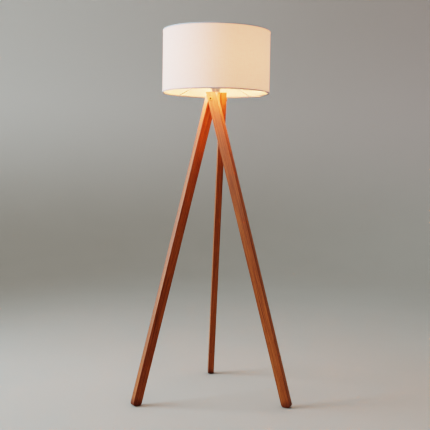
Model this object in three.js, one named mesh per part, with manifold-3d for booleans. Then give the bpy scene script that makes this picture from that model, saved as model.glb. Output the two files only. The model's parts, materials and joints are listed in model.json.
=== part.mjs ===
// Tripod floor lamp: three timber slats bolted round a triangular hub block, an E27 lampholder
// standing on the hub, and a drum shade carried by a four-armed wire spider.
// Millimetres, +Z up. The origin is the bottom centre of the whole lamp's bounding box.

import * as THREE from 'three';
import { mergeVertices } from 'three/addons/utils/BufferGeometryUtils.js';
import Module from 'manifold-3d';

// ---------------------------------------------------------------- driving dimensions

const FIT_GAP = 0.3;                    // air left between two pieces that touch

const HUB_TOP = 1291;                   // height of the level top of the timber
const HUB_HEIGHT = 55;
const HUB_APOTHEM = 17.4;               // lamp axis to each of the hub's three faces
const HUB_CORNER_RADIUS = 7;

const LEG_NAMES = ['front', 'rear', 'left'];
const FIRST_LEG_HEADING = -24.4;        // degrees from +X to where the front leg reaches
const LEG_THICKNESS = 26;
const LEG_WIDTH_TOP = 44.5;             // measured level, across the slat
const LEG_WIDTH_FOOT = 40;
const LEG_SHIFT_TOP = -4.8;             // slat's centre line from the hub face's centre, at the top
const LEG_REACH = 357.5;                // slat's centre line from the hub face's centre, at the floor
const LEG_EDGE_ROUND = 1.5;
const LEG_TOP_CORNER_RADIUS = 2;
const LEG_FOOT_CORNER_RADIUS = 12;

const BOLT_DROP = HUB_HEIGHT / 2;       // bolt axis below the top of the timber
const BOLT_SHIFT = -2.7;                // and along the hub face, from its centre
const BOLT_RADIUS = 3;
const BOLT_HEAD_RADIUS = 8.5;
const BOLT_HEAD_HEIGHT = 2.6;
const BOLT_SOCKET_FLATS = 6;
const BOLT_SOCKET_DEPTH = 1.7;
const BOLT_THREAD_IN_HUB = 8.5;
const INSERT_RADIUS = 4.7;
const INSERT_LENGTH = 9.8;

const STOP_PIN_RADIUS = 3;
const STOP_PIN_DROP = 18;               // stop pin below the bolt
const STOP_PIN_IN_HUB = 8;
const STOP_PIN_IN_LEG = 7;

const GLIDE_RADIUS = 6.5;
const GLIDE_HEIGHT = 2;
const GLIDE_NAIL_RADIUS = 1;
const GLIDE_NAIL_LENGTH = 12;

const NIPPLE_RADIUS = 5;
const NIPPLE_BORE_RADIUS = 3.5;
const NIPPLE_BELOW_HUB = 11;
const NIPPLE_ABOVE_HUB = 10;
const HUB_WASHER_RADIUS = 13;
const HUB_WASHER_HEIGHT = 1.5;
const HUB_NUT_FLATS = 14;
const HUB_NUT_HEIGHT = 4;
const BUSH_LENGTH = 14;
const BUSH_RADIUS = 7.5;
const BUSH_TIP_RADIUS = 6;
const BUSH_BORE_RADIUS = 3.4;

const HOLDER_NECK_RADIUS = 17;
const HOLDER_SHOULDER_RADIUS = 21.5;
const HOLDER_CAP_HEIGHT = 36;
const SKIRT_RADIUS = 19.8;              // outside of the threaded skirt
const SKIRT_BORE_RADIUS = 15.2;
const SKIRT_TOP = 70;                   // heights in the holder are above its own base
const RING_NUT_RADIUS = 26.5;
const RING_NUT_HEIGHT = 4;
const SPIDER_LEVEL = 60;                // underside of the spider's centre ring

const SHADE_RADIUS = 225;
const SHADE_BOTTOM = 1288;
const SHADE_HEIGHT = 259;
const CLOTH_THICKNESS = 0.6;
const LINER_THICKNESS = 0.8;
const HEM_DEPTH = 8;                    // how far each hem runs down or up the outside
const HEM_RETURN = 6;                   // and the inside
const RIM_WIRE_RADIUS = 2;
const SPIDER_RING_RADIUS = 30;
const SPIDER_RING_THICKNESS = 2;
const SPIDER_ARM_COUNT = 4;
const SPIDER_ARM_RADIUS = 1.75;
const SPIDER_HEADING = 47;              // degrees from +X to the first arm

const BULB_RADIUS = 30;
const BULB_LENGTH = 110;
const BULB_CAP_RADIUS = 13.2;
const CORE_TOP = 36;
const BULB_SEAT = 39.5;                 // tip of the bulb's contact above the holder's base

// ---------------------------------------------------------------- worked-out places

const LEG_SEAT = HUB_APOTHEM + FIT_GAP;             // lamp axis to a leg's inner face
const LEG_FACE = LEG_SEAT + LEG_THICKNESS;          // lamp axis to a leg's outer face
const LEG_BOTTOM = GLIDE_HEIGHT + FIT_GAP;
const LEAN_SLOPE = (LEG_REACH - LEG_SHIFT_TOP) / HUB_TOP;
const LEAN_ANGLE = Math.atan(LEAN_SLOPE);
const HUB_BOTTOM = HUB_TOP - HUB_HEIGHT;
const BOLT_LEVEL = HUB_TOP - BOLT_DROP;
const HOLDER_BASE = HUB_TOP + FIT_GAP;
const SHADE_TOP = SHADE_BOTTOM + SHADE_HEIGHT;

// The sleeve of the shade, from the outside in: hem, cloth, liner, rim wire, hem's inner return.
const CLOTH_RADIUS = SHADE_RADIUS - CLOTH_THICKNESS - FIT_GAP;
const LINER_RADIUS = CLOTH_RADIUS - CLOTH_THICKNESS - FIT_GAP;
const RIM_WIRE_CENTRE = LINER_RADIUS - LINER_THICKNESS - FIT_GAP - RIM_WIRE_RADIUS;
const HEM_INNER_RADIUS = RIM_WIRE_CENTRE - RIM_WIRE_RADIUS - FIT_GAP;
const CLOTH_MARGIN = CLOTH_THICKNESS + FIT_GAP;     // hem's fold outside the edge of the cloth

const ROUND_FINE = 48;                  // sides of the shade's round pieces
const ROUND_MEDIUM = 24;
const ROUND_SMALL = 14;

function radians(degrees) {
  return THREE.MathUtils.degToRad(degrees);
}

// Distance of a slat's centre line from its hub face's centre at height z.
function slatCentre(z) {
  return LEG_REACH - LEAN_SLOPE * z;
}

// ---------------------------------------------------------------- materials

function material(color, roughness, metalness = 0) {
  return new THREE.MeshStandardMaterial({ color, roughness, metalness });
}

const TIMBER = material(0x9a6238, 0.5);
const BRONZE = material(0xb08a55, 0.35, 1);
const STEEL = material(0xa9a9a6, 0.35, 1);
const BRASS = material(0xb99a56, 0.35, 1);
const NICKEL = material(0xc8c6c0, 0.25, 1);
const IVORY_PLASTIC = material(0xe8ddcb, 0.45);
const DARK_PLASTIC = material(0x2a2624, 0.5);
const CERAMIC = material(0xe6e2d8, 0.4);
const WHITE_WIRE = material(0xe9e6df, 0.4, 0.2);
const CLOTH = material(0xeadfd0, 0.9);
const LINER = material(0xf6efe0, 0.6);
const DIFFUSER = material(0xfff2d8, 0.5);
const NYLON = material(0x6a4a34, 0.6);

// ---------------------------------------------------------------- shape helpers

const manifold = await Module();
manifold.setup();

function toSolid(geometry) {
  const bare = geometry.clone();
  bare.deleteAttribute('normal');
  bare.deleteAttribute('uv');
  const merged = mergeVertices(bare, 1e-3);
  const index = merged.index.array;
  const triangles = [];
  for (let i = 0; i < index.length; i += 3) {
    const [a, b, c] = [index[i], index[i + 1], index[i + 2]];
    if (a !== b && b !== c && c !== a) triangles.push(a, b, c);
  }
  return new manifold.Manifold(new manifold.Mesh({
    numProp: 3,
    vertProperties: merged.attributes.position.array,
    triVerts: Uint32Array.from(triangles),
  }));
}

function toGeometry(solid) {
  const mesh = solid.getMesh();
  const geometry = new THREE.BufferGeometry();
  geometry.setAttribute('position', new THREE.BufferAttribute(mesh.vertProperties, 3));
  geometry.setIndex(new THREE.BufferAttribute(mesh.triVerts, 1));
  geometry.computeVertexNormals();
  return geometry;
}

// The base geometry with every tool geometry cut out of it.
function cut(base, tools) {
  let solid = toSolid(base);
  for (const tool of tools) solid = solid.subtract(toSolid(tool));
  return toGeometry(solid);
}

// A turned piece: [radius, height] points, anticlockwise round the section, axis on +Z.
function turned(points, sides) {
  const profile = points.map(([radius, height]) => new THREE.Vector2(radius, height));
  return new THREE.LatheGeometry(profile, sides).rotateX(Math.PI / 2);
}

// A turned ring with a rectangular section.
function tube(innerRadius, outerRadius, bottom, top, sides) {
  return turned([
    [innerRadius, bottom],
    [outerRadius, bottom],
    [outerRadius, top],
    [innerRadius, top],
    [innerRadius, bottom],
  ], sides);
}

// A turned solid rod.
function rod(radius, bottom, top, sides) {
  return turned([[0, bottom], [radius, bottom], [radius, top], [0, top]], sides);
}

// A regular hexagon, flat to flat.
function hexagon(flats) {
  const cornerRadius = flats / Math.sqrt(3);
  const shape = new THREE.Shape();
  for (let corner = 0; corner < 6; corner += 1) {
    const angle = radians(60 * corner);
    const point = [cornerRadius * Math.cos(angle), cornerRadius * Math.sin(angle)];
    if (corner === 0) shape.moveTo(...point);
    else shape.lineTo(...point);
  }
  shape.closePath();
  return shape;
}

// A convex polygon, anticlockwise, with each corner rounded: corners are {x, y, radius}.
function roundedPolygon(corners) {
  const shape = new THREE.Shape();
  corners.forEach((corner, i) => {
    const point = new THREE.Vector2(corner.x, corner.y);
    const before = corners[(i + corners.length - 1) % corners.length];
    const after = corners[(i + 1) % corners.length];
    const back = new THREE.Vector2(before.x, before.y).sub(point).normalize();
    const ahead = new THREE.Vector2(after.x, after.y).sub(point).normalize();
    const halfAngle = Math.acos(back.dot(ahead)) / 2;
    const middle = back.clone().add(ahead).normalize();
    const centre = point.clone().addScaledVector(middle, corner.radius / Math.sin(halfAngle));
    const tangent = corner.radius / Math.tan(halfAngle);
    const entry = point.clone().addScaledVector(back, tangent);
    const exit = point.clone().addScaledVector(ahead, tangent);
    const entryAngle = entry.clone().sub(centre).angle();
    const exitAngle = exit.clone().sub(centre).angle();
    if (i === 0) shape.moveTo(entry.x, entry.y);
    else shape.lineTo(entry.x, entry.y);
    shape.absarc(centre.x, centre.y, corner.radius, entryAngle, exitAngle, false);
  });
  shape.closePath();
  return shape;
}

// A slot that follows an arc round the origin, with round ends.
function arcSlot(pathRadius, halfWidth, startAngle, endAngle) {
  const shape = new THREE.Shape();
  const endAt = (angle) => [pathRadius * Math.cos(angle), pathRadius * Math.sin(angle)];
  shape.absarc(0, 0, pathRadius + halfWidth, startAngle, endAngle, false);
  shape.absarc(...endAt(endAngle), halfWidth, endAngle, endAngle + Math.PI, false);
  shape.absarc(0, 0, pathRadius - halfWidth, endAngle, startAngle, true);
  shape.absarc(...endAt(startAngle), halfWidth, startAngle + Math.PI, startAngle + 2 * Math.PI, false);
  return shape;
}

// A plate of the shape, thickness tall, its long edges rounded by edgeRound.
function plate(shape, thickness, edgeRound = 0, curveSegments = 5) {
  return new THREE.ExtrudeGeometry(shape, {
    depth: thickness - 2 * edgeRound,
    bevelEnabled: edgeRound > 0,
    bevelThickness: edgeRound,
    bevelSize: edgeRound,
    bevelOffset: -edgeRound,
    bevelSegments: 1,
    curveSegments,
  }).translate(0, 0, edgeRound);
}

// Leg frame: +X is where the leg reaches, -Y is out of the hub face, +Z is up.
// This stands a plate or a turned piece on the plane y = -distance, pointing out along -Y.
function facingOut(geometry, distance) {
  return geometry.rotateX(Math.PI / 2).translate(0, -distance, 0);
}

function namedMesh(name, geometry, meshMaterial) {
  const mesh = new THREE.Mesh(geometry, meshMaterial.clone());
  mesh.name = name;
  return mesh;
}

// ---------------------------------------------------------------- the timber stand

// One slat in its leg frame: tapered, level at both ends, with its bolt hole, the curved slot
// for the stop pin in its inner face, and the hole for the glide's nail.
function legGeometry() {
  const corner = (z, width, side, radius) => ({ x: slatCentre(z) + side * width / 2, y: z, radius });
  const outline = roundedPolygon([
    corner(LEG_BOTTOM, LEG_WIDTH_FOOT, -1, LEG_FOOT_CORNER_RADIUS),
    corner(LEG_BOTTOM, LEG_WIDTH_FOOT, 1, LEG_FOOT_CORNER_RADIUS),
    corner(HUB_TOP, LEG_WIDTH_TOP, 1, LEG_TOP_CORNER_RADIUS),
    corner(HUB_TOP, LEG_WIDTH_TOP, -1, LEG_TOP_CORNER_RADIUS),
  ]);
  const slat = facingOut(plate(outline, LEG_THICKNESS, LEG_EDGE_ROUND), LEG_SEAT);
  const boltHole = facingOut(rod(BOLT_RADIUS + FIT_GAP, -1, LEG_THICKNESS + 1, ROUND_SMALL), LEG_SEAT)
    .translate(BOLT_SHIFT, 0, BOLT_LEVEL);
  const below = -Math.PI / 2;
  const slotShape = arcSlot(STOP_PIN_DROP, STOP_PIN_RADIUS + FIT_GAP, below, below + LEAN_ANGLE);
  const slot = facingOut(plate(slotShape, STOP_PIN_IN_LEG + 2), LEG_SEAT - 1)
    .translate(BOLT_SHIFT, 0, BOLT_LEVEL);
  const nailHole = rod(GLIDE_NAIL_RADIUS + FIT_GAP, 0, GLIDE_NAIL_LENGTH + 4, ROUND_SMALL / 2)
    .translate(glideShift(), -(LEG_SEAT + LEG_THICKNESS / 2), 0);
  return cut(slat, [boltHole, slot, nailHole]);
}

// Middle of the flat that the rounded foot leaves on the ground.
function glideShift() {
  const inner = Math.tan((Math.PI / 2 - LEAN_ANGLE) / 2);
  const outer = Math.tan((Math.PI / 2 + LEAN_ANGLE) / 2);
  return slatCentre(LEG_BOTTOM) + LEG_FOOT_CORNER_RADIUS * (inner - outer) / 2;
}

// A flat-headed furniture bolt with a hexagon socket, head outermost.
function boltGeometry() {
  const headBottom = LEG_THICKNESS + FIT_GAP;
  const headTop = headBottom + BOLT_HEAD_HEIGHT;
  const bolt = turned([
    [0, -FIT_GAP - BOLT_THREAD_IN_HUB],
    [BOLT_RADIUS, -FIT_GAP - BOLT_THREAD_IN_HUB],
    [BOLT_RADIUS, headBottom],
    [BOLT_HEAD_RADIUS, headBottom],
    [BOLT_HEAD_RADIUS, headTop - 0.9],
    [BOLT_HEAD_RADIUS - 0.4, headTop - 0.3],
    [BOLT_HEAD_RADIUS - 1.2, headTop],
    [0, headTop],
  ], ROUND_MEDIUM);
  const socket = plate(hexagon(BOLT_SOCKET_FLATS), BOLT_SOCKET_DEPTH + 1)
    .translate(0, 0, headTop - BOLT_SOCKET_DEPTH);
  return facingOut(cut(bolt, [socket]), LEG_SEAT).translate(BOLT_SHIFT, 0, BOLT_LEVEL);
}

// A screwed-in sleeve that gives the bolt a metal thread.
function insertGeometry() {
  const sleeve = tube(BOLT_RADIUS + FIT_GAP, INSERT_RADIUS, 0, INSERT_LENGTH, ROUND_SMALL);
  return facingOut(sleeve, HUB_APOTHEM - INSERT_LENGTH).translate(BOLT_SHIFT, 0, BOLT_LEVEL);
}

function stopPinGeometry() {
  const length = STOP_PIN_IN_HUB + FIT_GAP + STOP_PIN_IN_LEG;
  const pin = turned([
    [0, 0],
    [STOP_PIN_RADIUS, 0],
    [STOP_PIN_RADIUS, length - 0.8],
    [STOP_PIN_RADIUS - 0.8, length],
    [0, length],
  ], ROUND_SMALL);
  return facingOut(pin, HUB_APOTHEM - STOP_PIN_IN_HUB)
    .translate(BOLT_SHIFT, 0, BOLT_LEVEL - STOP_PIN_DROP);
}

// A nail-in glide: a low disc under the foot with its nail standing in the timber.
function glideGeometry() {
  const glide = turned([
    [0, 0],
    [GLIDE_RADIUS - 0.8, 0],
    [GLIDE_RADIUS, 0.8],
    [GLIDE_RADIUS, GLIDE_HEIGHT],
    [GLIDE_NAIL_RADIUS, GLIDE_HEIGHT],
    [GLIDE_NAIL_RADIUS, GLIDE_HEIGHT + GLIDE_NAIL_LENGTH],
    [0, GLIDE_HEIGHT + GLIDE_NAIL_LENGTH + 1],
  ], ROUND_SMALL);
  return glide.translate(glideShift(), -(LEG_SEAT + LEG_THICKNESS / 2), 0);
}

// The hub block in the front leg's frame: a rounded triangle with a bore for the nipple and,
// in each face, a pocket for the threaded insert and a hole for the stop pin.
function hubGeometry() {
  const corners = LEG_NAMES.map((name, i) => {
    const angle = radians(90 + 120 * i);
    return {
      x: 2 * HUB_APOTHEM * Math.cos(angle),
      y: 2 * HUB_APOTHEM * Math.sin(angle),
      radius: HUB_CORNER_RADIUS,
    };
  });
  const block = plate(roundedPolygon(corners), HUB_HEIGHT, 1).translate(0, 0, HUB_BOTTOM);
  const bore = rod(NIPPLE_RADIUS + FIT_GAP, HUB_BOTTOM - 1, HUB_TOP + 1, ROUND_SMALL);
  const pockets = LEG_NAMES.flatMap((name, i) => {
    const pocket = rod(INSERT_RADIUS + FIT_GAP, 0, INSERT_LENGTH + 2, ROUND_SMALL);
    const hole = rod(STOP_PIN_RADIUS + FIT_GAP, 0, STOP_PIN_IN_HUB + 2, ROUND_SMALL);
    return [
      facingOut(pocket, HUB_APOTHEM - INSERT_LENGTH - FIT_GAP).translate(BOLT_SHIFT, 0, BOLT_LEVEL),
      facingOut(hole, HUB_APOTHEM - STOP_PIN_IN_HUB - FIT_GAP)
        .translate(BOLT_SHIFT, 0, BOLT_LEVEL - STOP_PIN_DROP),
    ].map((tool) => tool.rotateZ(radians(120 * i)));
  });
  return cut(block, [bore, ...pockets]);
}

function buildStand() {
  const stand = new THREE.Group();
  stand.rotation.z = radians(FIRST_LEG_HEADING);
  stand.add(namedMesh('hub_block', hubGeometry(), TIMBER));
  LEG_NAMES.forEach((name, i) => {
    const leg = new THREE.Group();
    leg.rotation.z = radians(120 * i);
    leg.add(namedMesh(`${name}_leg`, legGeometry(), TIMBER));
    leg.add(namedMesh(`${name}_leg_bolt`, boltGeometry(), BRONZE));
    leg.add(namedMesh(`${name}_threaded_insert`, insertGeometry(), BRASS));
    leg.add(namedMesh(`${name}_stop_pin`, stopPinGeometry(), STEEL));
    leg.add(namedMesh(`${name}_foot_glide`, glideGeometry(), NYLON));
    stand.add(leg);
  });
  return stand;
}

// ---------------------------------------------------------------- the wiring way through the hub

// The threaded nipple that holds the lampholder down, its washer and nut under the hub, and the
// bush that the supply cord leaves through.
function buildNipple() {
  const group = new THREE.Group();
  const nippleBottom = HUB_BOTTOM - NIPPLE_BELOW_HUB;
  const nippleTop = HUB_TOP + NIPPLE_ABOVE_HUB;
  const nipple = tube(NIPPLE_BORE_RADIUS, NIPPLE_RADIUS, nippleBottom, nippleTop, ROUND_SMALL);
  const washerTop = HUB_BOTTOM - FIT_GAP;
  const washerBottom = washerTop - HUB_WASHER_HEIGHT;
  const washer = tube(NIPPLE_RADIUS + FIT_GAP, HUB_WASHER_RADIUS, washerBottom, washerTop, ROUND_MEDIUM);
  const nutTop = washerBottom - FIT_GAP;
  const nutShape = hexagon(HUB_NUT_FLATS);
  nutShape.holes.push(new THREE.Path().absarc(0, 0, NIPPLE_RADIUS + FIT_GAP, 0, 2 * Math.PI, true));
  const nut = plate(nutShape, HUB_NUT_HEIGHT, 0, ROUND_SMALL / 2).translate(0, 0, nutTop - HUB_NUT_HEIGHT);
  const bushTop = nutTop - HUB_NUT_HEIGHT - FIT_GAP;
  const bushBottom = bushTop - BUSH_LENGTH;
  const shelf = nippleBottom - FIT_GAP;
  const bush = turned([
    [BUSH_BORE_RADIUS, bushBottom],
    [BUSH_TIP_RADIUS - 1, bushBottom],
    [BUSH_TIP_RADIUS, bushBottom + 1],
    [BUSH_RADIUS, bushTop - 5],
    [BUSH_RADIUS, bushTop],
    [NIPPLE_RADIUS + FIT_GAP, bushTop],
    [NIPPLE_RADIUS + FIT_GAP, shelf],
    [BUSH_BORE_RADIUS, shelf],
    [BUSH_BORE_RADIUS, bushBottom],
  ], ROUND_SMALL);
  group.add(namedMesh('nipple', nipple, STEEL));
  group.add(namedMesh('hub_washer', washer, STEEL));
  group.add(namedMesh('hub_nut', nut, STEEL));
  group.add(namedMesh('cord_bush', bush, DARK_PLASTIC));
  return group;
}

// ---------------------------------------------------------------- the lampholder

// The lower cap: a plain neck that flares to a shoulder and takes the skirt's spigot.
function holderCapGeometry() {
  const flare = [];
  const steps = 4;
  for (let step = 0; step <= steps; step += 1) {
    const along = step / steps;
    const bulge = (1 - Math.cos(Math.PI * along)) / 2;
    flare.push([
      THREE.MathUtils.lerp(HOLDER_NECK_RADIUS, HOLDER_SHOULDER_RADIUS, bulge),
      THREE.MathUtils.lerp(21, 29, along),
    ]);
  }
  return turned([
    [NIPPLE_RADIUS + FIT_GAP, 0],
    [HOLDER_NECK_RADIUS - 1, 0],
    [HOLDER_NECK_RADIUS, 1],
    ...flare,
    [HOLDER_SHOULDER_RADIUS, HOLDER_CAP_HEIGHT],
    [SKIRT_RADIUS - 1, HOLDER_CAP_HEIGHT],
    [SKIRT_RADIUS - 1, 26],
    [HOLDER_NECK_RADIUS - 2, 23],
    [HOLDER_NECK_RADIUS - 2, 3],
    [NIPPLE_RADIUS + FIT_GAP, 3],
    [NIPPLE_RADIUS + FIT_GAP, 0],
  ], ROUND_MEDIUM);
}

// The skirt: a spigot in the cap, a flange on the shoulder, and a long threaded sleeve.
function holderSkirtGeometry() {
  const flangeBottom = HOLDER_CAP_HEIGHT + FIT_GAP;
  const spigotRadius = SKIRT_RADIUS - 1 - FIT_GAP;
  return turned([
    [SKIRT_BORE_RADIUS, 27],
    [spigotRadius, 27],
    [spigotRadius, flangeBottom],
    [HOLDER_SHOULDER_RADIUS, flangeBottom],
    [HOLDER_SHOULDER_RADIUS, flangeBottom + 2],
    [SKIRT_RADIUS, flangeBottom + 2.6],
    [SKIRT_RADIUS, SKIRT_TOP - 0.6],
    [SKIRT_RADIUS - 0.8, SKIRT_TOP],
    [SKIRT_BORE_RADIUS + 0.5, SKIRT_TOP],
    [SKIRT_BORE_RADIUS, SKIRT_TOP - 0.5],
    [SKIRT_BORE_RADIUS, 27],
  ], ROUND_MEDIUM);
}

// The insulating core that carries the contacts and the terminal screws.
function holderCoreGeometry() {
  return turned([
    [0, 12],
    [HOLDER_NECK_RADIUS - 2 - FIT_GAP, 12],
    [HOLDER_NECK_RADIUS - 2 - FIT_GAP, 22],
    [11.5, 24],
    [11.5, CORE_TOP],
    [0, CORE_TOP],
  ], ROUND_MEDIUM);
}

// A sprung strip that stands on the core's rim and leans on the bulb's screw shell.
function sideContactGeometry() {
  const strip = new THREE.Shape();
  strip.moveTo(12, 24.3);
  strip.lineTo(14.6, 24.3);
  strip.lineTo(14.9, 48);
  strip.lineTo(14.3, 48);
  strip.lineTo(14, 25);
  strip.lineTo(12, 25);
  strip.closePath();
  return new THREE.ExtrudeGeometry(strip, { depth: 5, bevelEnabled: false })
    .translate(0, 0, -2.5)
    .rotateX(Math.PI / 2);
}

// Each terminal screw hangs under the core, head down, beside the nipple.
function terminalScrewGeometry() {
  return turned([
    [0, 6.5],
    [2.4, 6.5],
    [2.7, 7],
    [2.7, 8.4],
    [1.5, 8.4],
    [1.5, 12 - FIT_GAP],
    [0, 12 - FIT_GAP],
  ], 12);
}

function ringNutGeometry(bottom) {
  const inner = SKIRT_RADIUS + FIT_GAP;
  return turned([
    [inner, bottom],
    [RING_NUT_RADIUS - 0.6, bottom],
    [RING_NUT_RADIUS, bottom + 0.6],
    [RING_NUT_RADIUS, bottom + RING_NUT_HEIGHT - 0.6],
    [RING_NUT_RADIUS - 0.6, bottom + RING_NUT_HEIGHT],
    [inner, bottom + RING_NUT_HEIGHT],
    [inner, bottom],
  ], ROUND_MEDIUM);
}

function buildLampholder() {
  const holder = new THREE.Group();
  holder.position.z = HOLDER_BASE;
  holder.add(namedMesh('holder_cap', holderCapGeometry(), IVORY_PLASTIC));
  holder.add(namedMesh('holder_skirt', holderSkirtGeometry(), IVORY_PLASTIC));
  holder.add(namedMesh('holder_core', holderCoreGeometry(), CERAMIC));
  holder.add(namedMesh('centre_contact', rod(3.5, CORE_TOP + FIT_GAP, CORE_TOP + 2, ROUND_SMALL), BRASS));
  holder.add(namedMesh('side_contact', sideContactGeometry(), BRASS));
  [-1, 1].forEach((side, i) => {
    const screw = namedMesh(`terminal_screw_${i + 1}`, terminalScrewGeometry(), BRASS);
    screw.position.x = 10 * side;
    holder.add(screw);
  });
  const lowerNutBottom = SPIDER_LEVEL - FIT_GAP - RING_NUT_HEIGHT;
  const upperNutBottom = SPIDER_LEVEL + SPIDER_RING_THICKNESS + FIT_GAP;
  holder.add(namedMesh('lower_shade_ring_nut', ringNutGeometry(lowerNutBottom), IVORY_PLASTIC));
  holder.add(namedMesh('upper_shade_ring_nut', ringNutGeometry(upperNutBottom), IVORY_PLASTIC));
  return holder;
}

// ---------------------------------------------------------------- the shade

// A wire ring of the shade's rim.
function rimWireGeometry(level) {
  const profile = [];
  const sides = 6;
  for (let side = 0; side <= sides; side += 1) {
    const angle = 2 * Math.PI * side / sides;
    profile.push([
      RIM_WIRE_CENTRE + RIM_WIRE_RADIUS * Math.cos(angle),
      level + RIM_WIRE_RADIUS * Math.sin(angle),
    ]);
  }
  return turned(profile, ROUND_FINE);
}

// A hem: cloth folded over the edge of the drum and its rim wire, drawn for the bottom edge.
function hemProfile() {
  const inner = HEM_INNER_RADIUS;
  return [
    [inner - CLOTH_THICKNESS, 0],
    [SHADE_RADIUS, 0],
    [SHADE_RADIUS, HEM_DEPTH],
    [SHADE_RADIUS - CLOTH_THICKNESS, HEM_DEPTH],
    [SHADE_RADIUS - CLOTH_THICKNESS, CLOTH_THICKNESS],
    [inner, CLOTH_THICKNESS],
    [inner, HEM_RETURN],
    [inner - CLOTH_THICKNESS, HEM_RETURN],
    [inner - CLOTH_THICKNESS, 0],
  ];
}

// The bottom hem is slit where the spider's arms pass through its inner return.
function bottomHemGeometry() {
  const profile = hemProfile().map(([radius, z]) => [radius, SHADE_BOTTOM + z]);
  const slitBottom = SHADE_BOTTOM + CLOTH_THICKNESS + FIT_GAP;
  const slits = spiderArmAngles().map((angle) => (
    new THREE.BoxGeometry(4, 2 * (SPIDER_ARM_RADIUS + FIT_GAP), HEM_RETURN)
      .translate(HEM_INNER_RADIUS - 1, 0, slitBottom + HEM_RETURN / 2)
      .rotateZ(angle)
  ));
  return cut(turned(profile, ROUND_FINE), slits);
}

function topHemGeometry() {
  const profile = hemProfile().map(([radius, z]) => [radius, SHADE_TOP - z]).reverse();
  return turned(profile, ROUND_FINE);
}

function spiderArmAngles() {
  const angles = [];
  for (let i = 0; i < SPIDER_ARM_COUNT; i += 1) {
    angles.push(radians(SPIDER_HEADING + 360 * i / SPIDER_ARM_COUNT));
  }
  return angles;
}

// One straight arm from the spider's centre ring down to the bottom rim wire.
function spiderArmGeometry(ringLevel, wireLevel) {
  const endClearance = 2 * FIT_GAP;
  const innerEnd = new THREE.Vector3(SPIDER_RING_RADIUS + endClearance, 0, ringLevel);
  const outerEnd = new THREE.Vector3(RIM_WIRE_CENTRE - RIM_WIRE_RADIUS - endClearance, 0, wireLevel);
  const section = new THREE.Shape().absarc(0, 0, SPIDER_ARM_RADIUS, 0, 2 * Math.PI, false);
  return new THREE.ExtrudeGeometry(section, {
    steps: 1,
    curveSegments: 5,
    extrudePath: new THREE.LineCurve3(innerEnd, outerEnd),
  });
}

function buildShade() {
  const shade = new THREE.Group();
  const clothBottom = SHADE_BOTTOM + CLOTH_MARGIN;
  const clothTop = SHADE_TOP - CLOTH_MARGIN;
  const cloth = tube(CLOTH_RADIUS - CLOTH_THICKNESS, CLOTH_RADIUS, clothBottom, clothTop, ROUND_FINE);
  const liner = tube(LINER_RADIUS - LINER_THICKNESS, LINER_RADIUS, clothBottom, clothTop, ROUND_FINE);
  shade.add(namedMesh('shade_fabric', cloth, CLOTH));
  shade.add(namedMesh('shade_liner', liner, LINER));

  shade.add(namedMesh('bottom_hem', bottomHemGeometry(), CLOTH));
  shade.add(namedMesh('top_hem', topHemGeometry(), CLOTH));

  const wireMargin = CLOTH_MARGIN + RIM_WIRE_RADIUS;
  const wireLevel = SHADE_BOTTOM + wireMargin;
  shade.add(namedMesh('bottom_rim_wire', rimWireGeometry(wireLevel), WHITE_WIRE));
  shade.add(namedMesh('top_rim_wire', rimWireGeometry(SHADE_TOP - wireMargin), WHITE_WIRE));

  const ringBottom = HOLDER_BASE + SPIDER_LEVEL;
  const ringTop = ringBottom + SPIDER_RING_THICKNESS;
  const ring = tube(SKIRT_RADIUS + FIT_GAP, SPIDER_RING_RADIUS, ringBottom, ringTop, ROUND_MEDIUM);
  shade.add(namedMesh('spider_ring', ring, WHITE_WIRE));
  spiderArmAngles().forEach((angle, i) => {
    const armGeometry = spiderArmGeometry((ringBottom + ringTop) / 2, wireLevel);
    const arm = namedMesh(`spider_arm_${i + 1}`, armGeometry, WHITE_WIRE);
    arm.rotation.z = angle;
    shade.add(arm);
  });
  return shade;
}

// ---------------------------------------------------------------- the bulb

// Heights below are above the tip of the bulb's contact.
const BULB_CAP_BOTTOM = 2.5;
const BULB_CAP_TOP = 28.5;
const BULB_HOUSING_TOP = 56;
const BULB_WIDEST = BULB_LENGTH - BULB_RADIUS;

// The screw shell, open at both ends.
function bulbCapGeometry() {
  return turned([
    [9, BULB_CAP_BOTTOM],
    [BULB_CAP_RADIUS - 1.5, BULB_CAP_BOTTOM + 1.5],
    [BULB_CAP_RADIUS, BULB_CAP_BOTTOM + 4],
    [BULB_CAP_RADIUS, BULB_CAP_TOP],
    [BULB_CAP_RADIUS - 0.8, BULB_CAP_TOP],
    [BULB_CAP_RADIUS - 0.8, BULB_CAP_BOTTOM + 4.3],
    [8.4, BULB_CAP_BOTTOM + 1.4],
    [8.4, BULB_CAP_BOTTOM + 0.4],
    [9, BULB_CAP_BOTTOM],
  ], ROUND_MEDIUM);
}

// The housing widens from the screw shell to the seat of the diffuser; it is hollow above.
function bulbHousingGeometry() {
  const plugRadius = BULB_CAP_RADIUS - 0.8 - FIT_GAP;
  return turned([
    [0, BULB_CAP_BOTTOM + 6],
    [plugRadius, BULB_CAP_BOTTOM + 6],
    [plugRadius, BULB_CAP_TOP + FIT_GAP],
    [BULB_CAP_RADIUS + 0.6, BULB_CAP_TOP + FIT_GAP],
    [BULB_CAP_RADIUS + 1.4, BULB_CAP_TOP + 6],
    [19, BULB_CAP_TOP + 16],
    [24.5, BULB_HOUSING_TOP],
    [22.5, BULB_HOUSING_TOP],
    [17.5, BULB_CAP_TOP + 18],
    [0, BULB_CAP_TOP + 18],
  ], ROUND_MEDIUM);
}

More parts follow.
